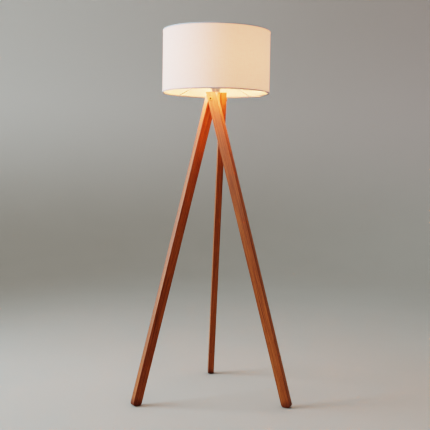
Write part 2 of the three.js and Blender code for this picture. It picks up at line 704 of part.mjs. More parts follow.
// The diffuser: a thin globe, open where it stands on the housing.
function bulbDiffuserGeometry() {
  const wall = 1;
  const seat = BULB_HOUSING_TOP + FIT_GAP;
  const startAngle = Math.asin((seat - BULB_WIDEST) / BULB_RADIUS);
  const steps = 6;
  const arc = (radius, from, to) => {
    const points = [];
    for (let step = 0; step <= steps; step += 1) {
      const angle = THREE.MathUtils.lerp(from, to, step / steps);
      points.push([radius * Math.cos(angle), BULB_WIDEST + radius * Math.sin(angle)]);
    }
    return points;
  };
  const outside = arc(BULB_RADIUS, startAngle, Math.PI / 2);
  const inside = arc(BULB_RADIUS - wall, Math.PI / 2, startAngle);
  outside[outside.length - 1][0] = 0;
  inside[0][0] = 0;
  return turned([...outside, ...inside, outside[0]], ROUND_MEDIUM);
}

function buildBulb() {
  const bulb = new THREE.Group();
  bulb.position.z = HOLDER_BASE + BULB_SEAT;
  const contact = turned([[0, 0], [3, 0], [4.5, 1.2], [4.5, 2], [0, 2]], ROUND_SMALL);
  const insulator = turned([
    [0, 2 + FIT_GAP],
    [5.2, 2 + FIT_GAP],
    [8, BULB_CAP_BOTTOM + 0.6],
    [8, BULB_CAP_BOTTOM + 3],
    [0, BULB_CAP_BOTTOM + 3],
  ], ROUND_SMALL);
  const boardBottom = BULB_CAP_TOP + 18 + FIT_GAP;
  bulb.add(namedMesh('bulb_contact', contact, NICKEL));
  bulb.add(namedMesh('bulb_insulator', insulator, DARK_PLASTIC));
  bulb.add(namedMesh('bulb_cap', bulbCapGeometry(), NICKEL));
  bulb.add(namedMesh('bulb_housing', bulbHousingGeometry(), CERAMIC));
  bulb.add(namedMesh('led_board', rod(16.5, boardBottom, boardBottom + 1.6, ROUND_MEDIUM), NICKEL));
  bulb.add(namedMesh('bulb_diffuser', bulbDiffuserGeometry(), DIFFUSER));
  return bulb;
}

// ---------------------------------------------------------------- the whole lamp

const lamp = new THREE.Group();
lamp.add(buildStand(), buildNipple(), buildLampholder(), buildShade(), buildBulb());

// The three feet are not centred on the lamp's axis, so the lamp is moved until the bottom centre
// of its bounding box is at the origin.
lamp.updateMatrixWorld(true);
const bounds = new THREE.Box3().setFromObject(lamp, true);
const centre = bounds.getCenter(new THREE.Vector3());
lamp.position.set(-centre.x, -centre.y, -bounds.min.z);

export default lamp;
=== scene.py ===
import json
from math import asin, atan, atan2, cos, exp, pi, radians, sin, sqrt, tan

import bmesh
import bpy
from mathutils import Matrix, Vector, noise


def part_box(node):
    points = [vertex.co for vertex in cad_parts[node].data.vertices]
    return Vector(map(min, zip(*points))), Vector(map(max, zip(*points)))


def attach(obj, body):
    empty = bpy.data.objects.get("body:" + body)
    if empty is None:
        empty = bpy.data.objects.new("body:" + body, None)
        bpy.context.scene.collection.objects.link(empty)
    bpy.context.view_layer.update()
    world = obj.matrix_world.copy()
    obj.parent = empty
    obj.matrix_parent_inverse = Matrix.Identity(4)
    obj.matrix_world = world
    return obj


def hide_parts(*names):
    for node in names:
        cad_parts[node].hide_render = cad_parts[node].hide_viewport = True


# The looks of the tripod floor lamp. Shapes are worked out in millimetres in a piece's own frame,
# which is placed by a matrix in metres. Z is up. Every moving body's place comes from the frame.

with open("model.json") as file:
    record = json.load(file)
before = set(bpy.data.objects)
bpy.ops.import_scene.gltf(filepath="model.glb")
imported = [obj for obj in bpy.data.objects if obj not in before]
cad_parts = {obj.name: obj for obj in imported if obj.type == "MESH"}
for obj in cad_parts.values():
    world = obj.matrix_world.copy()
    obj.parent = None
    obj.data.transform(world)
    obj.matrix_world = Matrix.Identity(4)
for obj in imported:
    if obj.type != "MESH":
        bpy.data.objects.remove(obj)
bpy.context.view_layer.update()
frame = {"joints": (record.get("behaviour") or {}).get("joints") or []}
MM = 0.001

# ---------------------------------------------------------------- driving dimensions, mm

HUB_TOP = 1291
HUB_HEIGHT = 55
HUB_APOTHEM = 17.4
HUB_CORNER_RADIUS = 7

LEG_THICKNESS = 26
LEG_WIDTH_TOP = 44.5        # measured level, across the slat
LEG_WIDTH_FOOT = 40
LEG_REACH = 357.5           # slat's centre line from the hub face's centre, at the floor
LEG_SHIFT_TOP = -4.8        # and at the top
LEG_BOTTOM = 2.3
LEG_FOOT_RADIUS = 12
LEG_TOP_RADIUS = 2
LEG_EDGE_RADIUS = 1.5
LEG_SEAT = 17.7             # lamp axis to a slat's inner face

BOLT_RADIUS = 3
BOLT_HEAD_RADIUS = 8.5
BOLT_HEAD_HEIGHT = 2.6
BOLT_SOCKET_FLATS = 6
BOLT_IN_HUB = 8.8           # from the slat's inner face
INSERT_LENGTH = 9.8
STOP_PIN_RADIUS = 3
STOP_PIN_DROP = 18          # stop pin below the bolt
STOP_PIN_IN_HUB = 8
STOP_PIN_IN_LEG = 7
SLOT_DEPTH = STOP_PIN_IN_LEG + 1
FIT_GAP = 0.3               # air left between two pieces that meet

NIPPLE_BASE = 1225          # where the nipple and the pieces strung on it start
HUB_WASHER_BASE = 1234.2
HUB_NUT_BASE = 1229.9
HUB_NUT_FLATS = 14
CORD_BUSH_BASE = 1215.6

HOLDER_BASE = 1291.3        # the lampholder stands here, and its own heights count from here
HOLDER_NECK_RADIUS = 17
HOLDER_SHOULDER_RADIUS = 21.5
HOLDER_CAP_HEIGHT = 36
SKIRT_RADIUS = 19.8
SKIRT_BORE_RADIUS = 15.2
SKIRT_TOP = 70
RING_NUT_RADIUS = 26.5
RING_NUT_HEIGHT = 4
SPIDER_LEVEL = 60

SHADE_RADIUS = 225
SHADE_BOTTOM = 1288
SHADE_TOP = 1547
CLOTH_RADIUS = 224.1        # outer faces of the sleeve's layers
CLOTH_THICKNESS = 0.6
LINER_RADIUS = 223.2
LINER_THICKNESS = 0.8
CLOTH_MARGIN = 0.9          # hem's fold outside the edge of the cloth
RIM_WIRE_CENTRE = 220.1
RIM_WIRE_RADIUS = 2
RIM_WIRE_INSET = 2.9        # wire's centre from the end of the shade
HEM_INNER_RADIUS = 217.2
HEM_DEPTH = 8
HEM_RETURN = 6
LAP_WIDTH = 14              # the sleeve overlaps itself by this much at its seam
LAP_CLIMB = 34              # and climbs onto itself over this length
LAP_HEIGHT = 1.7
SEAM_HEADING = 96           # degrees from +X
SPIDER_RING_RADIUS = 30
SPIDER_ARM_RADIUS = 1.75
SPIDER_ARM_COUNT = 4
SPIDER_HEADING = 47

BULB_BASE = HOLDER_BASE + 39.5
BULB_RADIUS = 30
BULB_LENGTH = 110
BULB_CAP_RADIUS = 13.2

LEG_NAMES = ("front", "rear", "left")

# ---------------------------------------------------------------- places from the frame

joints = {joint["name"]: joint for joint in frame["joints"]}
axis_x, axis_y, _ = joints["shade_swivel"]["pos_m"]
LAMP = Matrix.Translation((axis_x, axis_y, 0))      # on the lamp's axis, at the floor


def raised(height):
    """A frame on the lamp's axis, height mm above the floor."""
    return LAMP @ Matrix.Translation((0, 0, height * MM))


def leg_frame(name):
    """+X is where the leg reaches, -Y is out of its hub face, +Z is up. Its origin is LAMP's."""
    axis = joints[f"{name}_leg_fold"]["axis"]
    heading = atan2(-axis[0], axis[1])
    return LAMP @ Matrix.Rotation(heading, 4, "Z")


LEG_FRAMES = {name: leg_frame(name) for name in LEG_NAMES}
bolt_place = LEG_FRAMES["front"].inverted() @ Vector(joints["front_leg_fold"]["pos_m"])
BOLT_SHIFT = bolt_place.x / MM
BOLT_LEVEL = bolt_place.z / MM
LEAN = atan((LEG_REACH - LEG_SHIFT_TOP) / HUB_TOP)


def facing_out(name, distance, drop=0):
    """A frame on a leg's hub face, drop mm below its bolt and distance mm from the lamp's axis, whose
    +Z points out of the face."""
    place = Matrix.Translation((BOLT_SHIFT * MM, -distance * MM, (BOLT_LEVEL - drop) * MM))
    return LEG_FRAMES[name] @ place @ Matrix.Rotation(pi / 2, 4, "X")


def slat_centre(height):
    return LEG_REACH - tan(LEAN) * height


# ---------------------------------------------------------------- camera

CAMERA_DISTANCE = 3.4262
CAMERA_HEIGHT = 0.9865
CAMERA_PITCH = 3.535        # degrees down
CAMERA_ROLL = 0.906
CAMERA_YAW = -0.077
CAMERA_LENS = 67.6


def make_camera():
    data = bpy.data.cameras.new("camera")
    data.lens = CAMERA_LENS
    data.sensor_width = 36
    camera = bpy.data.objects.new("camera", data)
    bpy.context.scene.collection.objects.link(camera)
    camera.matrix_world = (
        LAMP
        @ Matrix.Translation((0, -CAMERA_DISTANCE, CAMERA_HEIGHT))
        @ Matrix.Rotation(radians(CAMERA_YAW), 4, "Z")
        @ Matrix.Rotation(radians(90 - CAMERA_PITCH), 4, "X")
        @ Matrix.Rotation(radians(CAMERA_ROLL), 4, "Z")
    )
    bpy.context.scene.camera = camera


make_camera()

# ---------------------------------------------------------------- shapes: (points, faces) in mm


def lerp(a, b, t):
    return a + (b - a) * t


def polar(radius, angle):
    return radius * cos(angle), radius * sin(angle)


def smooth(low, high, x):
    """0 below low, 1 above high, and a smooth step between."""
    t = min(max((x - low) / (high - low), 0), 1)
    return t * t * (3 - 2 * t)


def rounded(corners, steps=4, closed=True):
    """The outline through corners (x, y, radius), each corner turned by an arc."""
    outline = []
    count = len(corners)
    for i, (x, y, radius) in enumerate(corners):
        end = not closed and i in (0, count - 1)
        if radius == 0 or end:
            outline.append((x, y))
            continue
        point = Vector((x, y))
        back = Vector(corners[i - 1][:2]) - point
        ahead = Vector(corners[(i + 1) % count][:2]) - point
        reach = min(back.length, ahead.length) / 2
        back.normalize()
        ahead.normalize()
        half = back.angle(ahead) / 2
        radius = min(radius, reach * tan(half))
        centre = point + (back + ahead).normalized() * (radius / sin(half))
        entry = point + back * (radius / tan(half)) - centre
        leave = point + ahead * (radius / tan(half)) - centre
        turn = atan2(entry.cross(leave), entry.dot(leave))
        for step in range(steps + 1):
            arm = Matrix.Rotation(turn * step / steps, 2) @ entry
            outline.append(tuple(centre + arm))
    return outline


def turned(profile, sides=72, shape=None):
    """A solid turned round +Z. profile holds (radius, height) and either closes on itself or starts
    and ends on the axis. shape(radius, height, angle) gives the radius there."""
    closed = profile[0] == profile[-1]
    points, rings = [], []
    for radius, height in profile[:-1] if closed else profile:
        if radius < 1e-6:
            rings.append([len(points)] * sides)
            points.append((0, 0, height))
            continue
        rings.append(list(range(len(points), len(points) + sides)))
        for i in range(sides):
            angle = 2 * pi * i / sides
            r = shape(radius, height, angle) if shape else radius
            points.append((*polar(r, angle), height))
    faces = []
    for k in range(len(rings) if closed else len(rings) - 1):
        low, high = rings[k], rings[(k + 1) % len(rings)]
        for i in range(sides):
            j = (i + 1) % sides
            face = list(dict.fromkeys((low[i], low[j], high[j], high[i])))
            if len(face) > 2:
                faces.append(face)
    return points, faces


def lathe(corners, sides=72, shape=None, fine=None, steps=3):
    """turned(), from corners (radius, height, rounding). fine is (low, high, pitch) of a thread:
    the upright stretches of the profile are divided there, so that the thread has rows to bend."""
    on_axis = corners[0][0] == 0
    outline = rounded(corners, steps, closed=not on_axis)
    if not on_axis:
        outline.append(outline[0])
    if fine:
        outline = divided(outline, *fine)
    return turned(outline, sides, shape)


def divided(outline, low, high, step):
    """The outline with points added every step mm of height, wherever it is between low and high."""
    result = [outline[0]]
    for (r0, z0), (r1, z1) in zip(outline, outline[1:]):
        levels = []
        if abs(z1 - z0) > step:
            count = int(abs(z1 - z0) / step)
            levels = [lerp(z0, z1, k / count) for k in range(1, count)]
        for z in levels:
            if low <= z <= high:
                result.append((lerp(r0, r1, (z - z0) / (z1 - z0)), z))
        result.append((r1, z1))
    return result


def thread(low, high, pitch, depth, least=0.0, most=1e9):
    """A shape for turned(): a helical thread cut depth mm deep, on radii from least to most."""

    def shape(radius, height, angle):
        if not least <= radius <= most or not low <= height <= high:
            return radius
        phase = (height / pitch - angle / (2 * pi)) % 1
        groove = 0.5 - 0.5 * cos(2 * pi * phase)
        fade = smooth(low, low + pitch, height) * (1 - smooth(high - pitch, high, height))
        return radius - depth * groove * fade

    return shape


def hex_radius(flats, angle):
    """Distance to the edge of a hexagon, flats mm across, in the direction angle."""
    sector = pi / 3
    return flats / 2 / cos((angle + sector / 2) % sector - sector / 2)


def offset_inward(outline, distance):
    """A convex, anticlockwise outline moved inward by distance."""
    result = []
    count = len(outline)
    for i, point in enumerate(outline):
        here = Vector(point)
        before = (here - Vector(outline[i - 1])).normalized()
        after = (Vector(outline[(i + 1) % count]) - here).normalized()
        inward = Vector((-before.y - after.y, before.x + after.x)).normalized()
        half = max(before.dot(after), -0.99)
        result.append(tuple(here + inward * distance / sqrt((1 + half) / 2)))
    return result


def slab(outline, height, edge, steps=3):
    """A plate of the anticlockwise outline from z = 0 up, its rims rounded by edge."""
    layers = []
    for k in range(steps + 1):
        angle = pi / 2 * k / steps
        layers.append((edge * (1 - cos(angle)), edge * (1 - sin(angle))))
    layers += [(height - z, inset) for z, inset in reversed(layers)]
    rings = []
    for z, inset in layers:
        ring = offset_inward(outline, inset) if inset > 1e-6 else outline
        rings.append([(x, y, z) for x, y in ring])
    return loft(rings)


def loft(rings):
    """A closed solid through rings of points, capped at both ends."""
    count = len(rings[0])
    points = [p for ring in rings for p in ring]
    faces = [list(reversed(range(count)))]
    for k in range(len(rings) - 1):
        for i in range(count):
            j = (i + 1) % count
            faces.append([k * count + i, k * count + j, (k + 1) * count + j, (k + 1) * count + i])
    faces.append([(len(rings) - 1) * count + i for i in range(count)])
    return points, faces


def wire(path, radius, sides=12, ends=0.5):
    """A round wire along path, its ends domed by ends mm."""
    path = [Vector(p) for p in path]
    first, last = path[0], path[-1]
    rings = []
    side = Vector((0, 0, 1)).cross(path[1] - path[0]).normalized()
    before_first = first - (path[1] - first).normalized() * ends
    after_last = last + (last - path[-2]).normalized() * ends
    stations = [(before_first, 0.6)] + [(p, 1.0) for p in path] + [(after_last, 0.6)]
    for i, (point, scale) in enumerate(stations):
        before = stations[max(i - 1, 0)][0]
        after = stations[min(i + 1, len(stations) - 1)][0]
        along = (after - before).normalized()
        side = (side - along * side.dot(along)).normalized()
        up = along.cross(side)
        ring = []
        for k in range(sides):
            angle = 2 * pi * k / sides
            arm = side * cos(angle) + up * sin(angle)
            ring.append(tuple(point + arm * radius * scale))
        rings.append(ring)
    return loft(rings)


def bead(centre, size, seed, sides=16):
    """A lumpy drop of weld metal."""
    half = sides // 2
    profile = [(sin(pi * k / half), -cos(pi * k / half)) for k in range(half + 1)]
    profile[0] = (0, -1)
    profile[-1] = (0, 1)
    points, faces = turned(profile, sides)
    result = []
    for point in points:
        lump = 1 + 0.18 * noise.noise(Vector(point) * 1.7 + Vector((seed, 0, 0)))
        result.append(tuple(Vector(centre) + Vector([a * b * lump for a, b in zip(point, size)])))
    return result, faces


def joined(*parts):
    points, faces = [], []
    for part_points, part_faces in parts:
        start = len(points)
        points += part_points
        faces += [[start + i for i in face] for face in part_faces]
    return points, faces


def moved(part, matrix):
    """A part under a matrix whose distances are in mm."""
    points, faces = part
    return [tuple(matrix @ Vector(p)) for p in points], faces


# ---------------------------------------------------------------- materials


class Finish:
    """A material of one Principled shader, with short calls for the nodes that feed it."""

    def __init__(self, name, **values):
        self.material = bpy.data.materials.new(name)
        self.material.use_nodes = True
        self.nodes = self.material.node_tree.nodes
        self.links = self.material.node_tree.links
        self.shader = self.nodes["Principled BSDF"]
        self.source = None
        self.set(**values)

    def set(self, **values):
        """Sets sockets of the shader: base_color=..., roughness=... to a value or another socket."""
        for key, value in values.items():
            self.feed(self.shader.inputs[key.replace("_", " ").title().replace("Ior", "IOR")], value)

    def feed(self, socket, value):
        if isinstance(value, bpy.types.NodeSocket):
            self.links.new(value, socket)
        elif isinstance(value, tuple) and len(value) == 3 and socket.type == "RGBA":
            socket.default_value = (*value, 1)
        else:
            socket.default_value = value

    def node(self, kind, *inputs, **settings):
        node = self.nodes.new("ShaderNode" + kind)
        for key, value in settings.items():
            setattr(node, key, value)
        for i, value in enumerate(inputs):
            if value is not None:
                self.feed(node.inputs[i], value)
        return node

    def place(self, scale=(1, 1, 1), shift=(0, 0, 0)):
        """The piece's own coordinates in metres, shifted and then scaled."""
        if not self.source:
            self.source = self.node("TexCoord").outputs["Object"]
        there = self.node("VectorMath", self.source, tuple(shift), operation="ADD")
        return self.node("VectorMath", there.outputs[0], tuple(scale), operation="MULTIPLY").outputs[0]

    def lean(self, foot, angle):
        """From here on, coordinates count from the point foot, with Z leaning by angle about Y."""
        there = self.place(shift=tuple(-c for c in foot))
        self.source = self.node("VectorRotate", there, None, None, angle, rotation_type="Y_AXIS").outputs[0]

    def math(self, operation, a, b=0.0):
        return self.node("Math", a, b, operation=operation).outputs[0]

    def times(self, a, b):
        return self.math("MULTIPLY", a, b)

    def plus(self, a, b):
        return self.math("ADD", a, b)

    def minus(self, a, b):
        return self.math("SUBTRACT", a, b)

    def from_z(self, x, y):
        """The distance from the piece's Z axis of a point at x, y."""
        return self.math("SQRT", self.plus(self.math("POWER", x, 2.0), self.math("POWER", y, 2.0)))

    def split(self, vector):
        return self.node("SeparateXYZ", vector).outputs

    def noise(self, where=None, scale=1.0, detail=2.0, roughness=0.5):
        where = where or self.place()
        node = self.node("TexNoise")
        for key, value in (("Vector", where), ("Scale", scale), ("Detail", detail), ("Roughness", roughness)):
            self.feed(node.inputs[key], value)
        return node.outputs[0]

    def range(self, value, low, high, to_low=0.0, to_high=1.0, kind="LINEAR"):
        node = self.node("MapRange", interpolation_type=kind)
        for i, number in enumerate((value, low, high, to_low, to_high)):
            self.feed(node.inputs[i], number)
        return node.outputs[0]

    def ramp(self, value, *stops):
        """Colours along value: stops are (place, colour)."""
        node = self.node("ValToRGB", value)
        elements = node.color_ramp.elements
        while len(elements) < len(stops):
            elements.new(0.5)
        for element, (place, colour) in zip(elements, stops):
            element.position = place
            element.color = (*colour, 1)
        return node.outputs[0]

    def mix(self, share, a, b):
        node = self.node("Mix", data_type="RGBA")
        for key, value in ((0, share), (6, a), (7, b)):
            self.feed(node.inputs[key], value)
        return node.outputs[2]

    def bump(self, height, distance, strength=1.0):
        """Bends the shader's normal by height, whose 1 is distance mm."""
        node = self.node("Bump")
        for key, value in (("Strength", strength), ("Distance", distance * MM), ("Height", height)):
            self.feed(node.inputs[key], value)
        self.set(normal=node.outputs[0])


def dimmed(colour, share):
    return tuple(c * share for c in colour)


def timber(name, shift, ends=None):
    """Oiled reddish-brown hardwood whose grain runs along the piece's Z. shift says which part of the
    tree the piece was cut from. ends is (half width at the foot, at the top, length) of a slat,
    in mm, which is darker along its arrises, and darker at its foot as painted shade."""
    f = Finish(name, coat_weight=0.06, coat_roughness=0.30, specular_ior_level=0.40)
    if ends:
        f.lean((LEG_REACH * MM, -LEG_THICKNESS / 2 * MM, 0), LEAN)
    along = f.place(scale=(1, 1, 0.05), shift=shift)
    x, y, z = f.split(along)
    wander = f.noise(f.place(scale=(3, 3, 2.2), shift=shift), detail=1)
    bend = f.range(wander, 0.3, 0.7, -0.016, 0.016)
    across = f.plus(x, bend)
    radius = f.from_z(across, y)
    uneven = f.noise(along, scale=90, detail=3)
    rings = f.plus(f.times(radius, 290.0), f.times(uneven, 1.6))
    year = f.math("FRACT", rings)
    late = f.math("POWER", year, 2.4)
    streak = f.noise(f.place(scale=(330, 330, 5.5), shift=shift), detail=4, roughness=0.62)
    broad = f.noise(f.place(scale=(42, 42, 1.6), shift=shift), detail=2)
    fleck = f.noise(f.place(scale=(1500, 1500, 42), shift=shift), detail=1, roughness=0.4)
    tone = f.plus(f.times(streak, 0.62), f.times(broad, 0.38))
    tone = f.minus(tone, f.times(late, 0.12))
    colour = f.ramp(
        tone,
        (0.26, (0.153, 0.034, 0.0105)), (0.40, (0.314, 0.084, 0.024)),
        (0.52, (0.460, 0.139, 0.040)), (0.68, (0.628, 0.217, 0.069)),
    )
    pore = f.range(fleck, 0.60, 0.70)
    colour = f.mix(f.times(pore, 0.55), colour, (0.088, 0.019, 0.006))
    # darker blotches at random, the wood's own colour
    stain_and_shade = f.range(broad, 0.35, 0.7, 0.0, 0.25)
    if ends:
        foot_half, top_half, length = ends
        px, py, pz = f.split(f.place())
        half = f.range(pz, 0.0, length * MM, foot_half * MM, top_half * MM)
        from_side = f.minus(half, f.math("ABSOLUTE", px))
        from_face = f.minus(LEG_THICKNESS / 2 * MM, f.math("ABSOLUTE", py))
        wobble = f.range(streak, 0.3, 0.7, 0.6, 1.5)
        # darker along the slat's arrises
        near_side = f.range(f.math("DIVIDE", from_side, wobble), 0.0005, 0.0042, 1.0, 0.0, "SMOOTHSTEP")
        near_face = f.range(f.math("DIVIDE", from_face, wobble), 0.0005, 0.0042, 1.0, 0.0, "SMOOTHSTEP")
        arris = f.times(near_side, near_face)
        # painted shade: the slat darkens over its lowest 45 mm, most at the floor
        foot = f.range(pz, 0.004, 0.045, 0.85, 0.0, "SMOOTHSTEP")
        stain_and_shade = f.math("MAXIMUM", stain_and_shade, f.math("MAXIMUM", f.times(arris, 0.62), foot))
    # this darkening holds random blotches, darker arrises, and painted shade at the foot
    colour = f.mix(stain_and_shade, colour, (0.124, 0.026, 0.008))
    f.set(base_color=colour)
    gloss = f.range(streak, 0.3, 0.7, 0.50, 0.36)
    f.set(roughness=f.plus(gloss, f.times(pore, 0.22)))
    height = f.minus(f.times(streak, 0.5), f.times(pore, 0.6))
    f.bump(f.minus(height, f.times(late, 0.12)), 0.16, 0.6)
    return f.material


def metal(name, colour, roughness, brushed=0.0, tarnish=(0.4, 0.36, 0.3), grime=0.25, socket=None):
    """Plated or plain metal with faint turning marks, and tarnish in patches. A socket (its radius,
    its floor's height, mm) round the piece's axis is painted near black as shade."""
    f = Finish(name, metallic=1.0)
    patches = f.noise(scale=160, detail=4, roughness=0.6)
    spots = f.noise(scale=900, detail=2)
    share = f.times(f.range(patches, 0.45, 0.7), grime)
    base = f.mix(share, colour, tuple(c * t for c, t in zip(colour, tarnish)))
    # painted shade: the socket's hollow is coloured near black
    if socket:
        radius, floor = socket
        x, y, z = f.split(f.place())
        from_axis = f.from_z(x, y)
        inside = f.range(from_axis, (radius + 0.2) * MM, (radius + 0.8) * MM, 1.0, 0.0)
        painted_socket_shade = f.times(inside, f.math("GREATER_THAN", z, floor * MM))
        base = f.mix(painted_socket_shade, base, (0.012, 0.008, 0.005))
    f.set(base_color=base)
    rough = f.plus(patches, f.times(spots, 0.4))
    f.set(roughness=f.range(rough, 0.4, 1.0, roughness, roughness + 0.22))
    marks = f.noise(f.place(scale=(300, 300, 4500)), detail=2)
    f.bump(f.plus(f.times(marks, brushed), f.times(spots, 0.3)), 0.03, 0.5)
    return f.material


def plastic(name, colour, roughness, coat=0.0, grain=0.35, dust=0.12):
    """Moulded plastic: a fine spark-eroded grain, faint flow lines, and a little dust and wear."""
    f = Finish(name, coat_weight=coat, coat_roughness=0.2, specular_ior_level=0.45)
    flow = f.noise(f.place(scale=(60, 60, 14)), detail=3)
    fine = f.noise(scale=2600, detail=2)
    wear = f.noise(scale=240, detail=4, roughness=0.65)
    shade = dimmed(colour, 0.82)
    base = f.mix(f.range(flow, 0.35, 0.7, 0.0, 0.35), colour, shade)
    worn = tuple(lerp(c, 0.55, 0.35) for c in colour)
    f.set(base_color=f.mix(f.range(wear, 0.55, 0.75, 0.0, dust), base, worn))
    f.set(roughness=f.range(wear, 0.3, 0.75, roughness - 0.06, roughness + 0.12))
    f.bump(f.plus(f.times(fine, grain), f.times(flow, 0.2)), 0.05, 0.6)
    return f.material


def powder_coat(name, colour):
    """White powder coat on wire: an orange-peel surface, thinner and greyer in patches."""
    f = Finish(name, roughness=0.42, coat_weight=0.15, coat_roughness=0.25)
    peel = f.noise(scale=1100, detail=2)
    patch = f.noise(scale=120, detail=4)
    grey = dimmed(colour, 0.78)
    f.set(base_color=f.mix(f.range(patch, 0.5, 0.75, 0.0, 0.5), colour, grey))
    f.bump(peel, 0.06, 0.7)
    return f.material


def unglazed(name, colour):
    """Unglazed steatite: chalky, with fine specks."""
    f = Finish(name, roughness=0.72, specular_ior_level=0.3)
    speck = f.noise(scale=1700, detail=3)
    cloud = f.noise(scale=90, detail=3)
    base = f.mix(f.range(cloud, 0.35, 0.7), colour, dimmed(colour, 0.86))
    f.set(base_color=f.mix(f.range(speck, 0.64, 0.72, 0.0, 0.5), base, dimmed(colour, 0.6)))
    f.bump(speck, 0.08, 0.6)
    return f.material


GLOW_COLOUR = (1.0, 0.356, 0.138)     # the bulb's light after it has passed the cloth
CLOTH_COLOUR = (0.615, 0.596, 0.569)


def cloth(name, glow, hem=False):
    """Plain-woven cotton, 0.55 mm from thread to thread, with slubs. The lit bulb's light through it is
    a painted glow, most at its own height, and a hem has painted shade with no glow where the rim wire is
    behind."""
    f = Finish(name, roughness=0.92, sheen_weight=0.25, sheen_roughness=0.5, specular_ior_level=0.2)
    x, y, z = f.split(f.place())
    around = f.times(f.math("ARCTAN2", y, x), SHADE_RADIUS * MM)
    pitch = 0.55 * MM
    warp_phase = f.times(around, pi / pitch)
    weft_phase = f.times(z, pi / pitch)
    warp = f.math("ABSOLUTE", f.math("SINE", warp_phase))
    weft = f.math("ABSOLUTE", f.math("SINE", weft_phase))
    over = f.math("GREATER_THAN", f.times(f.math("SINE", f.times(warp_phase, 0.5)),
                                          f.math("SINE", f.times(weft_phase, 0.5))), 0.0)
    weave = f.plus(f.times(over, warp), f.times(f.minus(1.0, over), weft))
    unrolled = f.node("CombineXYZ", around, z).outputs[0]
    level = f.node("VectorMath", unrolled, (22, 420, 1), operation="MULTIPLY").outputs[0]
    upright = f.node("VectorMath", unrolled, (420, 22, 1), operation="MULTIPLY").outputs[0]
    level_slub = f.noise(level, detail=3, roughness=0.6)
    upright_slub = f.noise(upright, detail=3, roughness=0.6)
    slub = f.times(f.plus(level_slub, upright_slub), 0.5)
    cloud = f.noise(scale=7, detail=3)
    base = f.mix(f.range(slub, 0.36, 0.62), dimmed(CLOTH_COLOUR, 0.90), CLOTH_COLOUR)
    # painted shade: darker in the hollows between the threads
    base = f.mix(f.range(weave, 0.0, 0.7, 0.12, 0.0), base, dimmed(CLOTH_COLOUR, 0.62))
    base = f.mix(f.range(cloud, 0.4, 0.7, 0.0, 0.25), base, dimmed(CLOTH_COLOUR, 0.93))
    f.set(base_color=base)
    f.bump(f.plus(weave, f.times(slub, 1.2)), 0.09, 0.35)
    # painted glow: emission stands for the bulb's light coming through the cloth
    middle = (SHADE_BOTTOM + SHADE_TOP) / 2 * MM
    from_middle = f.math("ABSOLUTE", f.minus(z, middle))
    fall = f.range(from_middle, 0.0, 0.15, 1.0, 0.86, "SMOOTHSTEP")
    threads = f.range(slub, 0.36, 0.62, 0.93, 1.03)
    strength = f.times(f.times(fall, threads), glow)
    if hem:
        # painted shade of the rim wire: no glow near the shade's ends, nor on the hem's inner return
        low = f.minus(z, SHADE_BOTTOM * MM)
        high = f.minus(SHADE_TOP * MM, z)
        from_rim = f.math("MINIMUM", low, high)
        clear = f.range(from_rim, 0.0042, 0.0056, 0.0, 0.88, "SMOOTHSTEP")
        outside = f.math("GREATER_THAN", f.plus(f.math("POWER", x, 2.0), f.math("POWER", y, 2.0)),
                         ((SHADE_RADIUS - 2) * MM) ** 2)
        strength = f.times(strength, f.times(clear, outside))
    f.set(emission_color=GLOW_COLOUR, emission_strength=strength)
    return f.material


def styrene(name):
    """The stiff white sheet that the cloth is laminated to: smooth, slightly glossy, faintly wavy."""
    f = Finish(name, specular_ior_level=0.35)
    waves = f.noise(f.place(scale=(14, 14, 30)), detail=2)
    fine = f.noise(scale=700, detail=3)
    colour = (0.72, 0.70, 0.66)
    f.set(base_color=f.mix(f.range(waves, 0.35, 0.7, 0.0, 0.4), colour, dimmed(colour, 0.96)))
    f.set(roughness=f.range(fine, 0.3, 0.7, 0.42, 0.58))
    f.bump(f.plus(f.times(waves, 1.0), f.times(fine, 0.1)), 0.25, 0.3)
    return f.material


def glowing(name, strength):
    """The frosted diffuser, lit from inside: brightest in the middle, less towards its seat."""
    f = Finish(name, base_color=(0.9, 0.87, 0.8), roughness=0.5, specular_ior_level=0.4)
    z = f.split(f.place())[2]
    frost = f.noise(scale=260, detail=2)
    seat = f.range(z, 0.056, 0.075, 0.55, 1.0, "SMOOTHSTEP")
    power = f.times(seat, f.range(frost, 0.3, 0.7, 0.96, 1.04))
    f.set(emission_color=(1.0, 0.32, 0.095), emission_strength=f.times(power, strength))
    f.bump(frost, 0.02, 0.4)
    return f.material


FOOT_HALF = LEG_WIDTH_FOOT / 2 * cos(LEAN)
TOP_HALF = LEG_WIDTH_TOP / 2 * cos(LEAN)
SLAT_LENGTH = HUB_TOP / cos(LEAN)
slat_ends = (FOOT_HALF, TOP_HALF, SLAT_LENGTH)

FRONT_TIMBER = timber("front_timber", (0.031, 0.052, 0.40), slat_ends)
REAR_TIMBER = timber("rear_timber", (-0.044, 0.061, 2.10), slat_ends)
LEFT_TIMBER = timber("left_timber", (0.018, -0.071, 4.70), slat_ends)
SLAT_TIMBERS = {"front": FRONT_TIMBER, "rear": REAR_TIMBER, "left": LEFT_TIMBER}
HUB_TIMBER = timber("hub_timber", (0.012, 0.034, 7.3))
BRONZE = metal("bronze", (0.34, 0.175, 0.070), 0.44, brushed=0.3,
               socket=(BOLT_SOCKET_FLATS / sqrt(3), LEG_THICKNESS + 0.5))
BRASS = metal("brass", (0.74, 0.54, 0.25), 0.22, brushed=0.4)
STEEL = metal("zinc_steel", (0.62, 0.62, 0.61), 0.28, brushed=0.5)
NICKEL = metal("nickel", (0.72, 0.70, 0.66), 0.16, brushed=0.2, grime=0.12)
ALUMINIUM = metal("board_aluminium", (0.75, 0.75, 0.74), 0.35, brushed=0.2)
IVORY = plastic("ivory_plastic", (0.86, 0.82, 0.76), 0.38, coat=0.1)
WHITE_HOUSING = plastic("white_housing", (0.80, 0.79, 0.76), 0.3, coat=0.3)
